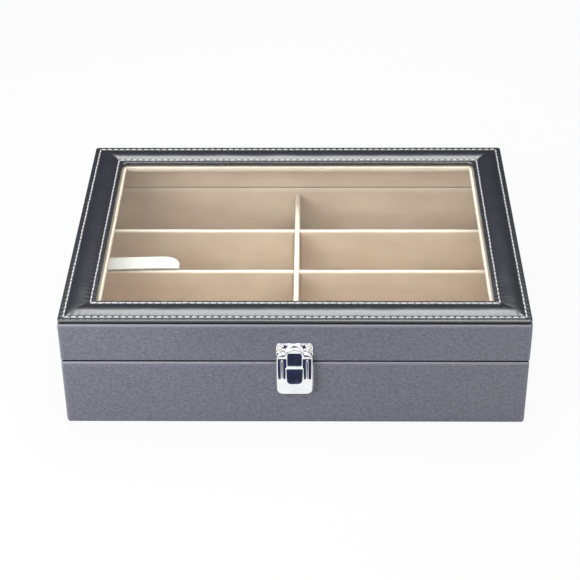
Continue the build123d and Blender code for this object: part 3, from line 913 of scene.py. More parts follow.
# %% [markdown]
# ## Stitches
# The two lines are lockstitch: a little over four millimetres of plied thread, then a gap of less
# than one. A painted line would look flat where light rakes over it, so every stitch is its own
# short tube that rises out of one hole and dives into the next. A whole seam is one array of tubes,
# built at once, and each tube leans and shifts a little, as machine stitches do.

# %% Two lines of stitches
thread_radius = 0.48 * mm
thread_rise = 0.34 * mm
thread_dive = 0.75 * mm
stitch_share = 0.86
thread_blunt = 0.16
stitch_lean = 0.02
stitch_drift = 0.05 * mm
stitch_steps, stitch_sides = 8, 6


def seam_starts(seam):
    """Start, direction and length of each stitch round a rectangular seam."""
    corner = np.array([(1, -1), (1, 1), (-1, 1), (-1, -1)]) * np.array(seam)
    starts, ways, sizes = [], [], []
    for number in range(4):
        begin, end = corner[number], corner[(number + 1) % 4]
        size = np.linalg.norm(end - begin)
        count = int(round(size / stitch_pitch))
        way = (end - begin) / size
        starts.append(begin + way * (np.arange(count)[:, None] * size / count))
        ways.append(np.tile(way, (count, 1)))
        sizes.append(np.full(count, size / count))
    return np.concatenate(starts), np.concatenate(ways), np.concatenate(sizes)


def stitch_line(name, seam, seed):
    """Tubes along a seam: round sections along an arched line, shrunk to a point at both ends."""
    random = np.random.default_rng(seed)
    starts, ways, sizes = seam_starts(seam)
    lean = random.normal(0, stitch_lean, len(starts))
    ways = ways + np.stack([-ways[:, 1], ways[:, 0]], -1) * lean[:, None]
    sides = np.stack([-ways[:, 1], ways[:, 0]], -1)
    starts = starts + sides * random.normal(0, stitch_drift, (len(starts), 1))
    run = np.linspace(0, 1, stitch_steps + 1)
    angle = np.linspace(0, 2 * np.pi, stitch_sides + 1)
    length = sizes * stitch_share * random.uniform(0.96, 1.03, len(starts))
    gap = (sizes - length) / 2
    along = gap[:, None] + length[:, None] * run
    thick = thread_radius * np.sin(np.pi * run) ** thread_blunt
    arch = thread_rise - thread_dive * (2 * run - 1) ** 4
    centre = starts[:, None] + ways[:, None] * along[..., None]
    spin = thick[None, :, None] * np.cos(angle)
    flat = centre[:, :, None] + sides[:, None, None] * spin[..., None]
    lift = flat_top + arch[:, None] + thick[:, None] * np.sin(angle) - seam_groove / 2
    lift = np.broadcast_to(lift, flat.shape[:3])
    points = np.concatenate([flat, lift[..., None]], -1)
    unfolded = np.stack(np.broadcast_arrays(along[..., None], angle[None, None]), -1)
    install(surface(name, [points], uvs=[unfolded]), "lid", white_thread)
    print(name, "has", len(starts), "stitches")


stitch_line("outer_stitches", outer_seam, 21)
stitch_line("inner_stitches", inner_seam, 22)

# %% [markdown]
# ## Velvet-covered cards
# The walls are lined with cards wrapped in velvet, so each is a thin block with soft edges. Its
# section is a rounded rectangle swept along its length and closed at both ends. The faces swell
# slightly, because there is a thin wadding under the pile; a bevelled block would be dead flat.


# %% A soft board
board_wave_length = 45 * mm


def soft_board(low, high, axis, radius, swell, seed, steps=40):
    """A rounded section along one axis between two corners, with its faces waved by a little.
    The ends shrink to their centre, which closes them."""
    low, high = np.array(low), np.array(high)
    middle, size = (low + high) / 2, high - low
    wide, tall = (number for number in range(3) if number != axis)
    loop = rounded_loop(size[wide] / 2, size[tall] / 2, radius, 14, 14, turns=4, pull=0.0)
    travel = np.linspace(-size[axis] / 2, size[axis] / 2, steps)
    travel = np.concatenate([travel[:1], travel, travel[-1:]])
    shrink = np.ones(len(travel))
    shrink[[0, -1]] = 0
    points = np.empty((len(travel), len(loop), 3))
    points[..., wide] = loop[:, 0] * shrink[:, None]
    points[..., tall] = loop[:, 1] * shrink[:, None]
    points[..., axis] = travel[:, None]
    points += middle
    thin = wide if size[wide] < size[tall] else tall
    face = np.sign(points[..., thin] - middle[thin]) * shrink[:, None]
    points[..., thin] += face * swell * ripple(points, board_wave_length, seed)
    return points


# %% The linings of the walls
lining_gap = 0.15 * mm
lining_round = 0.95 * mm
lining_swell = 0.10 * mm
lining_crest = 0.55
crest_low, crest_high = 1.6 * mm, 0.6 * mm


def lining(part, side, body, seed):
    """The velvet card of one wall, which stops a little short of the seam of the case."""
    low, high = (np.array(corner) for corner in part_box(f"{part}_{side}_liner"))
    low[2] += lining_gap * (part == "lid")
    high[2] -= lining_gap * (part == "base")
    axis = 0 if side in ("front", "back") else 1
    points = soft_board(low, high, axis, lining_round, lining_swell, seed)
    # Painted light: the top of each of the base's linings is painted paler, for the light from above that
    # falls there.
    crest = lining_crest * soft_step(points[..., 2], high[2] - crest_low, high[2] - crest_high)
    crest = crest * (part == "base")
    piece = surface(f"{part}_{side}_lining", [points], marks={"crest": [crest]})
    install(piece, body, velvet, [f"{part}_{side}_liner"])


for number, side in enumerate(wall_sides):
    lining("base", side, "base", 30 + number)
    lining("lid", side, "lid", 40 + number)

# %% [markdown]
# ## Dividers
# A divider is a card with velvet folded over it. Its top is fully round and painted paler. That
# is painted light, standing in for the light from above that falls on the top. The long one runs
# from front to back in one piece, and the three cross dividers are let into it, so they look like
# two halves each that butt against it. The same soft board serves for all of them, with its radius
# taken up to nearly half its thickness.

# %% Divider covers
crest_depth = 1.5 * mm
divider_swell = 0.09 * mm
divider_sag, sag_length = 0.12 * mm, 60 * mm
divider_foot = floor_top - 0.2 * mm


def divider_cover(name, spans, axis, place, seed):
    """Covers along one axis: an upright strip with a full round top, for each span."""
    grids, crests = [], []
    for number, (start, end) in enumerate(spans):
        low = [place - divider_half, place - divider_half, divider_foot]
        high = [place + divider_half, place + divider_half, divider_top]
        low[axis], high[axis] = start, end
        points = soft_board(low, high, axis, 0.93 * divider_half, divider_swell, seed + number, steps=60)
        sag = divider_sag * ripple(points, sag_length, seed + 5 + number)
        points[..., 2] += sag * soft_step(points[..., 2], floor_top, divider_top)
        grids.append(points)
        # Painted light: the round top is painted paler, for the light from above that falls on it.
        crests.append(soft_step(points[..., 2], divider_top - crest_depth, divider_top - 0.4 * crest_depth))
    piece = surface(f"{name}_velvet", grids, marks={"crest": crests})
    install(piece, "base", velvet, [f"{name}_cover"])


divider_cover("centre_divider", [(-clear_y, clear_y)], 1, 0, 50)
halves = [(-clear_x, -divider_half), (divider_half, clear_x)]
for number, place in enumerate(row_places, 1):
    divider_cover(f"cross_divider_{number}", halves, 0, place, 50 + 7 * number)

# %% [markdown]
# ## The padded floor
# The floor is one sheet of thin wadding under velvet. The dividers stand on it, so it is pinched
# under them and swells in each of the eight places. The swell is under a millimetre, too little to
# be worth a simulation, so the distance to the nearest wall or divider gives the height.

# %% The floor cushion
pad_swell = 0.9 * mm
pad_pinch = 0.5 * mm
pinch_reach = 7 * mm
floor_wave, floor_wave_length = 0.1 * mm, 40 * mm
floor_columns, floor_rows = 181, 141
cushion_foot = floor_low + 0.05 * mm


def dividers_away(across, deep):
    """How far places of the floor are from the nearest divider's side; nothing under a divider."""
    offsets = [across, *(deep - place for place in row_places)]
    gap = np.min([abs(abs(offset) - divider_half) for offset in offsets], 0)
    under = np.any([abs(offset) < divider_half for offset in offsets], 0)
    return np.where(under, 0, gap)


def grid_border(grid):
    """The outermost points of a grid, once round and back to the first."""
    return np.concatenate([grid[0], grid[1:, -1], grid[-1, -2::-1], grid[-2::-1, 0]])


def floor_cushion():
    """A grid over the whole floor: its height grows with the distance to the nearest wall or
    divider, and its edge is turned down to the board and closed below."""
    x = np.linspace(-clear_x, clear_x, floor_columns)
    y = np.linspace(-clear_y, clear_y, floor_rows)
    across, deep = np.meshgrid(x, y)
    walls_away = np.minimum(clear_x - abs(across), clear_y - abs(deep))
    gap = np.minimum(walls_away, dividers_away(across, deep))
    fullness = 1 - np.exp(-gap / pinch_reach)
    points = np.stack([across, deep, floor_top - pad_pinch + pad_swell * fullness], -1)
    points[..., 2] += floor_wave * ripple(points, floor_wave_length, 61) * fullness
    foot = points.copy()
    foot[..., 2] = cushion_foot
    side = np.stack([grid_border(foot), grid_border(points)])
    return surface("floor_cushion", [points, side, foot[::-1]])


cushion = floor_cushion()
install(cushion, "base", velvet, ["floor_pad"])

# %% [markdown]
# ## Ceiling and pale trim
# From inside, the lid's ledge is a velvet ring, and under the pane a strip of paler cloth is folded
# over its edge. Both are closed sections carried round a rectangle. Extruding the trim along a path
# would do as well, but the ring keeps its corners crisp.

# %% The ceiling round the window, and the pale trim under the pane
ledge_reach = 2 * mm
ledge_x = window_edge[0] - ledge_reach
ring_columns = 60, 44
ceiling_round = 0.7 * mm
ceiling_wave, ceiling_wave_length = 0.06 * mm, 30 * mm
ceiling_corner, trim_corner = 0.6 * mm, 0.5 * mm
trim_sheet = 0.5 * mm
trim_round = 0.8 * mm


def ceiling_ring():
    """A closed flat ring: a rounded section carried round a rectangle, with its faces waved."""
    width, thickness = lined_x - ledge_x, ceiling_high - ceiling_low
    middle = (ceiling_low + ceiling_high) / 2
    section = rounded_loop(width / 2, thickness / 2, ceiling_round, 16, 3, turns=3, pull=0.3)
    points = ring(width / 2 - section[:, 0], middle + section[:, 1], lambda depth: rounded_loop(
        lined_x - depth, lined_y - depth, ceiling_corner, *ring_columns
    ))
    face = np.sign(points[..., 2] - middle)
    points[..., 2] += face * ceiling_wave * ripple(points, ceiling_wave_length, 71)
    return points


def trim_ring():
    """An angle of pale cloth: a flange under the pane, a round edge, and a sleeve down the ledge."""
    turn = quarter(5)
    flange, foot = pane_x - ledge_x, ceiling_low
    bend, outer_bend = flange - trim_round, trim_round + trim_sheet
    inset = np.concatenate([
        [0, 0], bend + outer_bend * np.sin(turn), [flange + trim_sheet, flange],
        bend + trim_round * np.sin(turn[::-1]), [0],
    ])
    height = np.concatenate([
        [pane_low - trim_sheet, pane_low], pane_low - outer_bend * (1 - np.cos(turn)), [foot, foot],
        pane_low - trim_sheet - trim_round * (1 - np.cos(turn[::-1])), [pane_low - trim_sheet],
    ])
    return ring(inset, height, lambda depth: rounded_loop(
        pane_x - depth, pane_y - depth, trim_corner, *ring_columns
    ))


install(surface("ceiling_velvet", [ceiling_ring()]), "lid", velvet, ["lid_ceiling_card"])
install(surface("pale_window_trim", [trim_ring()]), "lid", cream_trim, ["window_trim"])

# %% [markdown]
# ## The stay tape
# A woven tape keeps the lid from falling back. With the lid shut it lies folded over the middle
# divider. It is three pieces here, because no single one can follow the lid: the upper half moves
# with the lid and the lower half with the base.
# The halves are flat strips bent along a path, not draped cloth, because the fold is pressed in. The
# third is a strip that hides in the seam when the case is shut.

# %% A path with round bends
bend_steps = 13


def rounded_path(corners, radii, step):
    """Straight runs with tangent arcs at the inner corners, as evenly spaced points [x, z]."""
    corners = np.array(corners)
    path = [corners[:1]]
    for before, corner, after, radius in zip(corners[:-2], corners[1:-1], corners[2:], radii):
        come = (before - corner) / np.linalg.norm(before - corner)
        go = (after - corner) / np.linalg.norm(after - corner)
        half = math.acos(np.clip(come @ go, -1, 1)) / 2
        cut = radius / math.tan(half)
        middle = corner + (come + go) / np.linalg.norm(come + go) * radius / math.sin(half)
        first, last = corner + come * cut - middle, corner + go * cut - middle
        sweep = math.atan2(first[0] * last[1] - first[1] * last[0], first @ last)
        angle = np.linspace(0, sweep, bend_steps + 1)[:, None]
        path.append(middle + first * np.cos(angle) + np.array([-first[1], first[0]]) * np.sin(angle))
    path = np.concatenate([*path, corners[-1:]])
    walked = lengths_along(path)
    even = np.linspace(0, walked[-1], int(walked[-1] / step) + 1)
    return np.stack([np.interp(even, walked, path[:, i]) for i in (0, 1)], -1), even


elbow = rounded_path([(0, 0), (1, 0), (1, 1)], [0.5], 0.1)[1]
print("a bend of radius 0.5 shortens a path of 2 to", round(elbow[-1], 3))

# %% The folded halves
tape_low, tape_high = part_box("stay_tape")
tape_width = tape_high[1] - tape_low[1]
middle_y = (tape_low[1] + tape_high[1]) / 2
tape_sheet = 0.5 * mm
tape_wall = -clear_x + 0.7 * mm
tape_fold = tape_high[0] + 4.5 * mm
tape_upper = divider_top + 1.6 * mm
tape_lower = tape_upper - 2.2 * mm
tape_end = lid_rim + 9 * mm
tape_corner, corner_fall = 13 * mm, 0.8
tape_shift = 4.6 * mm
tape_skew = 2.6 * mm
tape_step = 1.0 * mm
tape_columns = 13
tape_wave, tape_wave_length = 0.12 * mm, 22 * mm


def tape_half(name, corners, radii, shift, skew, seed):
    """A tape along a path seen from the front; it lies shifted forwards, more so at the wall, and
    its far corner is rounded off where it folds."""
    path, walked = rounded_path(corners, radii, tape_step)
    share = np.linspace(0, 1, tape_columns)
    past = np.clip((path[:, 0] - (tape_fold - tape_corner)) / tape_corner, 0, 1)
    lean = shift - skew * soft_step(path[:, 0], tape_wall, tape_fold)
    trimmed = tape_high[1] - lean - corner_fall * tape_corner * (1 - np.sqrt(1 - past ** 2))
    near = tape_low[1] - lean
    deep = near[:, None] + (trimmed - near)[:, None] * share
    points = np.stack([
        np.broadcast_to(path[:, :1], deep.shape), deep, np.broadcast_to(path[:, 1:], deep.shape)
    ], -1)
    points[..., 2] += tape_wave * ripple(points, tape_wave_length, seed)
    unfolded = np.stack([np.broadcast_to(walked[:, None], deep.shape), deep], -1)
    piece = surface(name, [points], uvs=[unfolded])
    weave = piece.modifiers.new("Tape", "SOLIDIFY")
    weave.thickness = tape_sheet
    weave.offset = 0
    return piece, walked[-1]


crease = tape_fold, tape_upper - 1.1 * mm
before_crease = tape_fold - 0.4 * mm
fold_round = 0.7 * mm
loop_x = tape_wall + 14 * mm
loop_z = divider_top - 25 * mm
loop_round = 5.5 * mm
upper_half, upper_length = tape_half(
    "tape_upper",
    [(tape_wall, tape_end), (tape_wall, tape_upper + 0.6 * mm), (before_crease, tape_upper), crease],
    (3 * mm, fold_round), tape_shift, tape_skew, 81,
)
lower_half, lower_length = tape_half(
    "tape_lower",
    [
        crease, (before_crease, tape_lower), (loop_x + 3 * mm, tape_lower - 0.6 * mm),
        (loop_x, loop_z), (tape_wall, loop_z), (tape_wall, divider_top),
    ],
    (fold_round, 4 * mm, loop_round, loop_round), 0, 0, 82,
)
for half, body, length in ((upper_half, "lid", upper_length), (lower_half, "base", lower_length)):
    install(half, body, satin_tape)
    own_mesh(half)
print("tape length in millimetres", round((upper_length + lower_length) / mm, 1))

# %% [markdown]
# ## The strip between the halves
# With the lid open, the tape runs straight from rim to rim, where neither half can follow it. Its
# middle lies nearer the hinge, by just so much that its rows, each turned about the hinge by its
# share of the opening, would make a straight ribbon; here it stays at rest in the seam.

# %% The strip at rest in the seam
pin_behind = 2.3 * mm
hinge_axis = np.array([half_y + pin_behind, (base_rim + lid_rim) / 2])
open_angle = math.radians(95)
strip_rise = 0.12 * mm
strip_rows, strip_columns = 41, 9
strip_side = -clear_x + 0.25 * mm


def opening_strip():
    """Rows of a ribbon at rest in the seam: a point whose row stands for a share of the angle
    lies at the radius where a straight ribbon across the open case crosses that direction."""
    level = np.linspace(0, 1, strip_rows)
    height = hinge_axis[1] + strip_rise * (2 * level - 1)
    turned = (soft_step(level, 0, 1) - 0.5) * open_angle
    line = (hinge_axis[0] - middle_y) * math.cos(open_angle / 2)
    edge = line + np.linspace(-0.5, 0.5, strip_columns) * tape_width
    radius = edge / np.cos(turned)[:, None]
    side = np.full(radius.shape, strip_side)
    points = np.stack([side, hinge_axis[0] - radius, np.broadcast_to(height[:, None], radius.shape)], -1)
    run = line * np.tan(turned)
    unfolded = np.stack(np.broadcast_arrays(run[:, None], edge), -1)
    return surface("tape_span", [points], uvs=[unfolded])


span = opening_strip()
span.data.materials.append(satin_tape)
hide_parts("stay_tape")
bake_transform(span)
print("the strip opens by", round(math.degrees(open_angle)), "degrees")

# %% [markdown]
# ## The latch
# The flap is pressed from sheet: a plate with an arched tab, a window that drops over the lid's
# nose, a raised pad for the thumb and edges that roll back to the case. Seen from the front it is
# a region between two closed outlines, the window and the flap's edge. Both are star-shaped from
# one centre, so rays from that centre give the columns of a grid. Along each ray the rows run from
# the window to the edge, and the pressed form is a function of where a point lies. Cutting a window
# into a finished plate would leave a hard edge that the rolled one doesn't have.

# %% Outlines as distances, and rays that meet them
front_y = -half_y


def box_distance(x, z, middle_x, middle_z, width, height, radius):
    """Signed distance in the front plane to a rectangle with round corners."""
    over_x = abs(x - middle_x) - width / 2 + radius
    over_z = abs(z - middle_z) - height / 2 + radius
    outside = np.hypot(np.maximum(over_x, 0), np.maximum(over_z, 0))
    return outside + np.minimum(np.maximum(over_x, over_z), 0) - radius


def ray_reach(distance, middle_x, middle_z, angle, far):
    """How far each ray from the middle goes before the signed distance turns positive, by halving
    the interval forty times."""
    near, beyond = np.zeros_like(angle), np.full_like(angle, far)
    for _ in range(40):
        half = (near + beyond) / 2
        inside = distance(middle_x + half * np.cos(angle), middle_z + half * np.sin(angle)) < 0
        near, beyond = np.where(inside, half, near), np.where(inside, beyond, half)
    return near


# %% Outlines of the flap and of its window
flap_low, flap_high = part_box("latch_flap")
tab_stretch = 1.8 * mm
flap_bottom, flap_peak = flap_low[2], flap_high[2] + tab_stretch
flap_top = flap_high[2] - 2.8 * mm
flap_width, flap_corner = 24.6 * mm, 4 * mm
tab_radius = 7.2 * mm
tab_softness = 0.35 * mm
window_top = flap_peak - 2.3 * mm
window_low = window_top - 13.2 * mm
window_width = 11.4 * mm
window_low_round, window_high_round = 1.2 * mm, 3.6 * mm


def flap_shape(x, z):
    """Signed distance to the flap's outline: a rounded plate joined softly to a round tab."""
    middle, height = (flap_top + flap_bottom) / 2, flap_top - flap_bottom
    plate = box_distance(x, z, 0, middle, flap_width, height, flap_corner)
    tab = np.hypot(x, z - (flap_peak - tab_radius)) - tab_radius
    return smaller(plate, tab, tab_softness)


def half_round(x, z, low, high, width, low_radius, high_radius):
    """Signed distance to an upright rectangle whose upper and lower corners differ in radius."""
    middle = (low + high) / 2
    radius = np.where(z > middle, high_radius, low_radius)
    return box_distance(x, z, 0, middle, width, high - low, radius)


def window_shape(x, z):
    """Signed distance to the window: square below, arched above."""
    return half_round(x, z, window_low, window_top, window_width, window_low_round, window_high_round)


print("flap from", round(flap_bottom / mm, 1), "to", round(flap_peak / mm, 1), "mm above the ground")

# %% How far the flap's face stands out
belly_z = flap_bottom + 13 * mm
lean_top = flap_top - 4.2 * mm
shoulder_stand, belly_gain, face_bulge = 3.7 * mm, 2.7 * mm, 0.5 * mm
flap_curl, curl_power = 1.2 * mm, 1.4
ease_reach, ease_steps = 2.2, 23


def leaning_face(z):
    """How far a face stands out that is upright at the shoulders and leans out below them, with
    a slight bulge, however far down it goes."""
    down = np.maximum(lean_top - z, 0) / (lean_top - belly_z)
    return shoulder_stand + belly_gain * down + face_bulge * down * (1 - down)


def flap_stand(z):
    """How far the flap's face stands out: it leans as far as the belly and arcs back below it."""
    lower = np.clip((belly_z - z) / (belly_z - flap_bottom), 0, 1)
    return leaning_face(np.maximum(z, belly_z)) - flap_curl * lower ** curl_power


def smoothed_stand(z):
    """The same face with the crease at the belly eased: a mean over heights up to ease_reach
    millimetres away, weighed by a bell curve."""
    steps = np.linspace(-ease_reach, ease_reach, ease_steps)
    weights = np.exp(-steps ** 2)
    return (flap_stand(z[..., None] + steps * mm) * weights).sum(-1) / weights.sum()


print("the face stands out by", round(leaning_face(belly_z) / mm, 1), "mm at the belly")

# %% The pressed form of the flap
flap_columns, flap_rows = 385, 46
row_crowding = 0.55
pad_width, pad_tall = 12.6 * mm, 14.7 * mm
pad_top = window_low - 0.3 * mm
pad_low_round, pad_high_round = 3.6 * mm, 1.0 * mm
pad_rise, pad_gain = 0.35 * mm, 0.4 * mm
pad_slope, pad_top_slope = 1.0 * mm, 0.5 * mm
bead_x, bead_width, bead_rise = 9.0 * mm, 0.38 * mm, 0.38 * mm
shoulder_reach, shoulder_fall = 2.2 * mm, 0.32 * mm
shoulder_inside, shoulder_outside = 5.5 * mm, 7.5 * mm
flap_roll, window_roll = 0.8 * mm, 0.5 * mm
skirt_low, skirt_gain, skirt_tall = 4.4 * mm, 3.0 * mm, 12.6 * mm
flap_sheet = 0.7 * mm


def flap_rays():
    """Places [row, column] on rays from the window's centre; rows crowd at both rolled edges."""
    middle = (window_top + window_low) / 2
    angle = np.linspace(0, 2 * np.pi, flap_columns)
    start = ray_reach(window_shape, 0, middle, angle, 30 * mm)
    end = ray_reach(flap_shape, 0, middle, angle, 60 * mm)
    share = np.linspace(0, 1, flap_rows)
    share = share - row_crowding * np.sin(2 * np.pi * share) / (2 * np.pi)
    travel = start + (end - start) * share[:, None]
    return travel * np.cos(angle), middle + travel * np.sin(angle)


def rolled(away, radius):
    """How far an edge has rolled back at a distance inside it: a quarter circle."""
    return radius * (1 - np.sqrt(1 - (1 - np.clip(away / radius, 0, 1)) ** 2))


def pressed_face(x, z):
    """How far the face stands out: the eased lean, the thumb pad laid over it, a bead at each side,
    shoulders that fall back, and the rolled edges of flap and window."""
    out = smoothed_stand(z)
    pad = half_round(x, z, pad_top - pad_tall, pad_top, pad_width, pad_low_round, pad_high_round)
    pad_face = leaning_face(z) + pad_rise + pad_gain * np.clip((pad_top - z) / pad_tall, 0, 1)
    slope = np.where(z > pad_top - pad_high_round, pad_top_slope, pad_slope)
    out = out + (pad_face - out) * (1 - soft_step(pad, -slope, 0.1 * mm))
    beads = np.exp(-((abs(x) - bead_x) / bead_width) ** 2)
    beads = beads * soft_step(z, belly_z - 1 * mm, belly_z + 2 * mm)
    out = out + bead_rise * beads * (1 - soft_step(z, lean_top - 2 * mm, lean_top))
    shoulder = np.maximum(z - flap_top + shoulder_reach, 0) / shoulder_reach
    shoulder = shoulder * soft_step(abs(x), shoulder_inside, shoulder_outside)
    out = out - shoulder_fall * shoulder ** 2
    return out - rolled(-flap_shape(x, z), flap_roll) - rolled(window_shape(x, z), window_roll)


def flap_points():
    """The pressed face, and a skirt that runs back from its edge, deeper towards the top."""
    x, z = flap_rays()
    face = np.stack([x, front_y - pressed_face(x, z), z], -1)
    skirt = face[-1].copy()
    height = np.clip((z[-1] - flap_bottom) / skirt_tall, 0, 1)
    skirt[:, 1] = np.maximum(skirt[:, 1], front_y - skirt_low + skirt_gain * height)
    return np.concatenate([face, skirt[None]])


flap = surface("latch_flap_cover", [flap_points()])
sheet = flap.modifiers.new("Sheet", "SOLIDIFY")
sheet.thickness = flap_sheet
sheet.offset = -1
install(flap, "latch", bright_plate, ["latch_flap"])

# %% [markdown]
# ## The catch plate, its boss and its nose
# The lid's half of the latch is a small stamped plate with a round boss, and a nose that the
# flap's window drops over. The plate is a disc of rays again, from a pole in the middle to a
# rounded edge and back to a pole behind. The boss is a ring that rises from it round a dish, and
# beside the boss two pockets are pressed in. Dish and pockets slope, because polished plate that
# faces slightly upwards mirrors what is dark in front of the case. The nose is its own solid form:
# a wedge under an arch, slightly smaller than the window.

# %% The plate with its boss
plate_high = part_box("catch_plate")[1]
plate_foot, plate_corner = lid_rim + 2 * mm, 3 * mm
plate_thickness, plate_edge, edge_roll = 1.0 * mm, 0.3 * mm, 0.7 * mm
boss_z, boss_radius, boss_rise = lid_rim + 9.6 * mm, 6.5 * mm, 0.8 * mm
dish_depth, dish_start = 0.45 * mm, 3 * mm
button_radius, button_rise = 2.5 * mm, 0.35 * mm
rivet_x, rivet_z = 10.1 * mm, lid_rim + 11.4 * mm
seat_radius, seat_width, seat_depth = 2.5 * mm, 0.42 * mm, 0.11 * mm
groove_gap, groove_width, groove_depth = 0.9 * mm, 0.6 * mm, 0.28 * mm
pocket_x, pocket_half, pocket_tall = 7.0 * mm, 1.0 * mm, 3.2 * mm
pocket_low = rivet_z + 0.2 * mm
mirror_tilt = 0.18
catch_columns, catch_rows = 193, 60


def catch_shape(x, z):
    """Signed distance to the plate's outline; its upper corners are round."""
    middle, height = (plate_high[2] + plate_foot) / 2, plate_high[2] - plate_foot
    return box_distance(x, z, 0, middle, 2 * plate_high[0], height, plate_corner)


def boss_relief(radius, z):
    """The ring's rise, less a dish that deepens upwards inside it, plus a domed button."""
    rise = boss_rise * (1 - soft_step(radius, boss_radius - 1.0 * mm, boss_radius))
    dish = dish_depth + mirror_tilt * np.maximum(z - boss_z - dish_start, -1 * mm)
    dish = dish * (1 - soft_step(radius, boss_radius - 1.9 * mm, boss_radius - 1.1 * mm))
    button = button_rise * np.sqrt(np.clip(1 - (radius / button_radius) ** 2, 0, 1))
    return rise - dish + button


def pressed_lines(x, z, radius):
    """Depth of the groove round the boss and of the ring round each rivet, which stop at the two
    pockets, and of the pockets themselves, whose floors slope inwards as they climb."""
    climb = np.clip(z - pocket_low, 0, pocket_tall)
    inside = np.exp(-((abs(x) - pocket_x) / pocket_half) ** 4)
    inside = inside * (1 - soft_step(z - pocket_low - pocket_tall, 0, 0.5 * mm))
    groove = groove_depth * np.exp(-((radius - boss_radius - groove_gap) / groove_width) ** 2)
    seat = np.hypot(abs(x) - rivet_x, z - rivet_z) - seat_radius
    groove = groove + seat_depth * np.exp(-(seat / seat_width) ** 2)
    groove = groove * (1 - inside * soft_step(climb, 0, 0.4 * mm))
    return groove + mirror_tilt * climb * inside


def catch_points():
    """Rays from the boss's centre out to the rounded edge, then back behind the plate."""
    angle = np.linspace(0, 2 * np.pi, catch_columns)
    end = ray_reach(catch_shape, 0, boss_z, angle, 30 * mm)
    travel = end * np.linspace(0, 1, catch_rows)[:, None] ** 0.8
    x, z = travel * np.cos(angle), boss_z + travel * np.sin(angle)
    radius = np.hypot(x, z - boss_z)
    edge = np.clip(-catch_shape(x, z) / edge_roll, 0, 1)
    out = plate_edge + (plate_thickness - plate_edge) * np.sqrt(1 - (1 - edge) ** 2)
    out = out + boss_relief(radius, z) - pressed_lines(x, z, radius)
    face = np.stack([x, front_y - out, z], -1)
    behind = np.stack([x[-1], np.full_like(x[-1], front_y), z[-1]], -1)
    pole = np.broadcast_to([0, front_y, boss_z], behind.shape)
    return np.concatenate([face, behind[None], pole[None]])


# %% The nose
nose_back = 1.3 * mm
nose_half, nose_round = 5.7 * mm, 0.7 * mm
nose_levels, nose_stands = [0, 0.03, 0.94, 1], [4.6, 5.0, 3.8, 3.0]
nose_rows = 26
arch_start = 0.62
arch_foot = 0.55


def nose_points():
    """Levels from the rim to the nose's crest: each is a rounded section that leans back."""
    low, high = window_low + 0.2 * mm, window_top - 0.4 * mm
    level = np.linspace(0, 1, nose_rows)
    height = low + (high - low) * level
    stand = np.interp(level, nose_levels, nose_stands) * mm
    arch = np.clip((level - arch_start) / (1 - arch_start), 0, 1)
    half = nose_half * (arch_foot + (1 - arch_foot) * np.sqrt(1 - arch ** 2))
    centre, deep = (stand + nose_back) / 2, (stand - nose_back) / 2
    loops = np.stack([rounded_loop(a, b, nose_round, 12, 6, 5, 0.2) for a, b in zip(half, deep)])
    points = np.stack([
        loops[..., 0], front_y - centre[:, None] + loops[..., 1],
        np.broadcast_to(height[:, None], loops.shape[:2]),
    ], -1)
    ends = [np.broadcast_to(points[i].mean(0), points[i].shape)[None] for i in (0, -1)]
    return np.concatenate([ends[0], points, ends[1]])


catch = surface("catch_plate_cover", [catch_points(), nose_points()])
install(catch, "lid", bright_plate, ["catch_plate"])

# %% [markdown]
# ## Rivets and screws
# Domed rivets hold the latch, and pan-head screws with a cross recess hold the hinges. A head is a
# disc of rings whose height is a function of radius and angle: a dome for a rivet, a dome less a
# cross for a screw. That needs no cutting, and all the heads of one kind are one array, each at its
# own place.


# %% Heads for every fastener
head_rings, head_columns = 13, 33
head_edge = 0.25
recess_depth = 0.65
head_gap = 0.95 * mm
rivet_head = {"radius": 1.9 * mm, "height": 1.15 * mm, "face": front_y - head_gap, "outward": -1}
screw_head = {"radius": 2.1 * mm, "height": 1.05 * mm, "face": half_y + head_gap, "outward": 1}


def cross_recess(x, z):
    """1 in the two arms of a cross and 0 outside them, for a head of radius 1."""
    arm = 1 - soft_step(np.minimum(abs(x), abs(z)), 0.10, 0.20)
    return arm * (1 - soft_step(np.maximum(abs(x), abs(z)), 0.50, 0.62))


def heads(places, recess, radius, height, face, outward):
    """A domed head at each place [x, z], standing out from a face, closed at its back."""
    angle = np.linspace(0, 2 * np.pi, head_columns)
    share = np.linspace(0, 1, head_rings)[:, None]
    domed = head_edge + (1 - head_edge) * np.sqrt(np.clip(1 - share ** 2, 0, 1))
    rise = domed - recess * cross_recess(share * np.cos(angle), share * np.sin(angle))
    rise = np.concatenate([height * rise, np.zeros((2, head_columns))])
    spread_out = np.concatenate([share, [[1.0], [0.0]]]) * radius
    flat = np.stack([spread_out * np.cos(angle), spread_out * np.sin(angle)], -1)
    places = np.array(places)
    x = places[:, 0, None, None] + flat[..., 0]
    z = places[:, 1, None, None] + flat[..., 1]
    y = np.broadcast_to(face + outward * rise, x.shape)
    return np.stack([x, y, z], -1)


def fasteners(name, places, recess, head, finish, body, node):
    """One piece with a head at every place."""
    piece = surface(name, [heads(places, recess, **head)])
    install(piece, body, finish, [node])


# %% The latch's rivets and the hinges' screws
plate_rivet_x, plate_rivet_drops = 9 * mm, (4.4 * mm, 20.4 * mm)
screw_step = 9 * mm
leaf_low, leaf_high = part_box("hinge_right_lid_leaf")
hinge_middle = (leaf_low[0] + leaf_high[0]) / 2
sides = -1, 1

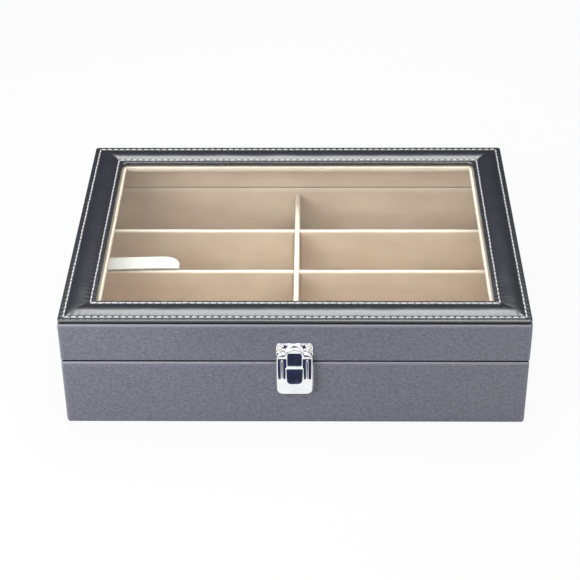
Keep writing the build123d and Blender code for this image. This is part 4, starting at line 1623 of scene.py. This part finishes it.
catch_rivets = [(side * rivet_x, rivet_z) for side in sides]
plate_rivets = [(side * plate_rivet_x, base_rim - drop) for side in sides for drop in plate_rivet_drops]
fasteners("catch_rivet_heads", catch_rivets, 0, rivet_head, pale_rivet, "lid", "catch_rivets")
fasteners("latch_rivet_heads", plate_rivets, 0, rivet_head, pale_rivet, "base", "latch_plate_rivets")
for body, direction in (("base", -1), ("lid", 1)):
    screws = [
        (side * hinge_middle + step * screw_step, hinge_axis[1] + direction * screw_step)
        for side in sides for step in sides
    ]
    node = f"{body}_hinge_screws"
    fasteners(f"{body}_screw_heads", screws, recess_depth, screw_head, dull_plate, body, node)

# %% [markdown]
# ## Floor and light
# The photo is a plain studio shot: a white ground with hardly a shadow, a broad light over the
# case, a weak one above the front that reaches into the compartments, and one from the front left.
# The floor is matt and pale; the camera sees it mixed with plain white, so that it is white where
# it is lit and still keeps the case's shadow. Glossy leather and polished plate need something
# dark to mirror, so two dark cards that only reflections can see stand before and behind the case.

# %% Floor and surroundings
floor_size = 14.0
floor_mix = 0.92
floor_gap = 0.1 * mm
air_light = 0.42


def seen_rays(tree):
    """1 for rays from the camera, from gloss and through glass, and 0 for all that carry light."""
    rays = add(tree, "ShaderNodeLightPath").outputs
    seen = reckon(tree, "MAXIMUM", rays["Is Camera Ray"], rays["Is Glossy Ray"])
    return reckon(tree, "MAXIMUM", seen, rays["Is Transmission Ray"])


def white_floor():
    """Matt ground, of which the rays that see it take the larger share as plain white."""
    made, tree, ground, place = new_finish("white_ground", roughness=0.9, specular_ior_level=0.1)
    cloud = noise(tree, place, scale=3.0, detail=2.0)
    join(tree, tint(tree, cloud, (0.68, 0.68, 0.68, 1), (0.71, 0.71, 0.71, 1)), ground, "Base Color")
    white = add(tree, "ShaderNodeEmission", {"Color": (1, 1, 1, 1), "Strength": 1.0})
    share = reckon(tree, "MULTIPLY", seen_rays(tree), floor_mix)
    both = add(tree, "ShaderNodeMixShader", {0: share, 1: ground.outputs[0], 2: white.outputs[0]})
    tree.links.new(both.outputs[0], tree.nodes["Material Output"].inputs["Surface"])
    return made


ground_corners = np.array([[(-1, -1, 0), (1, -1, 0)], [(-1, 1, 0), (1, 1, 0)]]) * floor_size / 2
ground_corners[..., 2] = cad_box[0][2] - floor_gap
floor = surface("floor", [ground_corners])
floor.data.materials.append(white_floor())

world = bpy.data.worlds.new("studio")
bpy.context.scene.world = world
world.use_nodes = True
air = world.node_tree
strength = spread(air, seen_rays(air), 0.0, 1.0, air_light, 1.0)
air.nodes["Background"].inputs["Color"].default_value = (1, 1, 1, 1)
air.links.new(strength, air.nodes["Background"].inputs["Strength"])
print("floor", floor_size, "m across, white air that lights with a strength of", air_light)


# %% Lamps
def soft_light(name, place, aim, size, power):
    """A rectangular soft box at a place, facing a point."""
    lamp = bpy.data.lights.new(name, "AREA")
    lamp.shape = "RECTANGLE"
    lamp.size, lamp.size_y = size
    lamp.energy = power
    box = bpy.data.objects.new(name, lamp)
    box.location = place
    way = np.array(place) - np.array(aim)
    turn = math.atan2(way[0], -way[1])
    box.rotation_euler = (math.atan2(math.hypot(way[0], way[1]), way[2]), 0, turn)
    bpy.context.scene.collection.objects.link(box)
    print(name, "gives", power, "W")


soft_light("overhead_box", place=(0.0, 0.31, 0.99), aim=(0, -0.11, 0.09), size=(0.72, 0.68), power=6.4)
soft_light("front_fill", place=(0.34, -0.60, 0.95), aim=(0, 0, 0.05), size=(0.6, 0.4), power=2.2)
soft_light(
    "front_left_box", place=(-0.52, -0.62, 0.45), aim=(-0.05, -0.12, 0.05), size=(0.6, 0.45), power=5.4
)


# %% Dark cards
def dark_card(name, low, high, place_y, dark, light, patches):
    """An upright card that only reflections see, in patches of two dark colours."""
    grid = np.array([[(x, place_y, z) for x in (low[0], high[0])] for z in (low[1], high[1])])
    card = surface(name, [grid])
    made, tree, paint, place = new_finish(name, roughness=0.95)
    shade = spread(tree, noise(tree, place, scale=patches), 0.35, 0.65)
    join(tree, tint(tree, shade, dark, light), paint, "Base Color")
    card.data.materials.append(made)
    card.visible_camera = False
    card.visible_diffuse = False
    card.visible_shadow = False
    card.visible_transmission = False
    print(name, "stands at", round(place_y, 3), "m from the middle")


dark_card(
    "front_card", low=(-0.09, 0.003), high=(0.09, 0.050), place_y=front_y - 0.10,
    dark=(0.012, 0.016, 0.045, 1), light=(0.035, 0.052, 0.14, 1), patches=45.0,
)
dark_card(
    "back_card", low=(-1.3, 0.05), high=(1.3, 0.86), place_y=0.85,
    dark=(0.010, 0.011, 0.016, 1), light=(0.016, 0.017, 0.025, 1), patches=8.0,
)

# %% [markdown]
# ## The camera
# The photo was taken with a long lens from in front, 35 degrees above the ground. The lens, the
# distance and the three angles were fitted to the eight corners of the case, so they are written as
# numbers. The camera looks along its own -Z, so its axes go straight into a matrix, which is
# plainer than three turns one after another.

# %% The camera
frame_size = 580
focal_pixels = 1572
sensor = 36.0
elevation = math.radians(34.92)
bearing = math.radians(1.13)
bank = math.radians(-0.60)
stand_off = 1.236
looked_at = np.array([-5.2 * mm, 0, 33 * mm])

towards = np.array([math.sin(bearing), -math.cos(bearing), 0]) * math.cos(elevation)
towards[2] = math.sin(elevation)
level_right = np.array([math.cos(bearing), math.sin(bearing), 0])
level_up = np.cross(towards, level_right)
right = level_right * math.cos(bank) + level_up * math.sin(bank)
up = np.cross(towards, right)
lens = bpy.data.cameras.new("camera")
lens.sensor_fit = "HORIZONTAL"
lens.sensor_width = sensor
lens.lens = sensor * focal_pixels / frame_size
lens.clip_start, lens.clip_end = 0.05, 20
camera = bpy.data.objects.new("camera", lens)
camera_place = looked_at + towards * stand_off
turned = np.eye(4)
turned[:3] = np.stack([right, up, towards, camera_place], 1)
camera.matrix_world = Matrix(turned.tolist())
bpy.context.scene.collection.objects.link(camera)
bpy.context.scene.camera = camera
bpy.context.scene.view_settings.view_transform = "Standard"
print("camera at", np.round(camera_place, 3), "lens", round(lens.lens, 1))
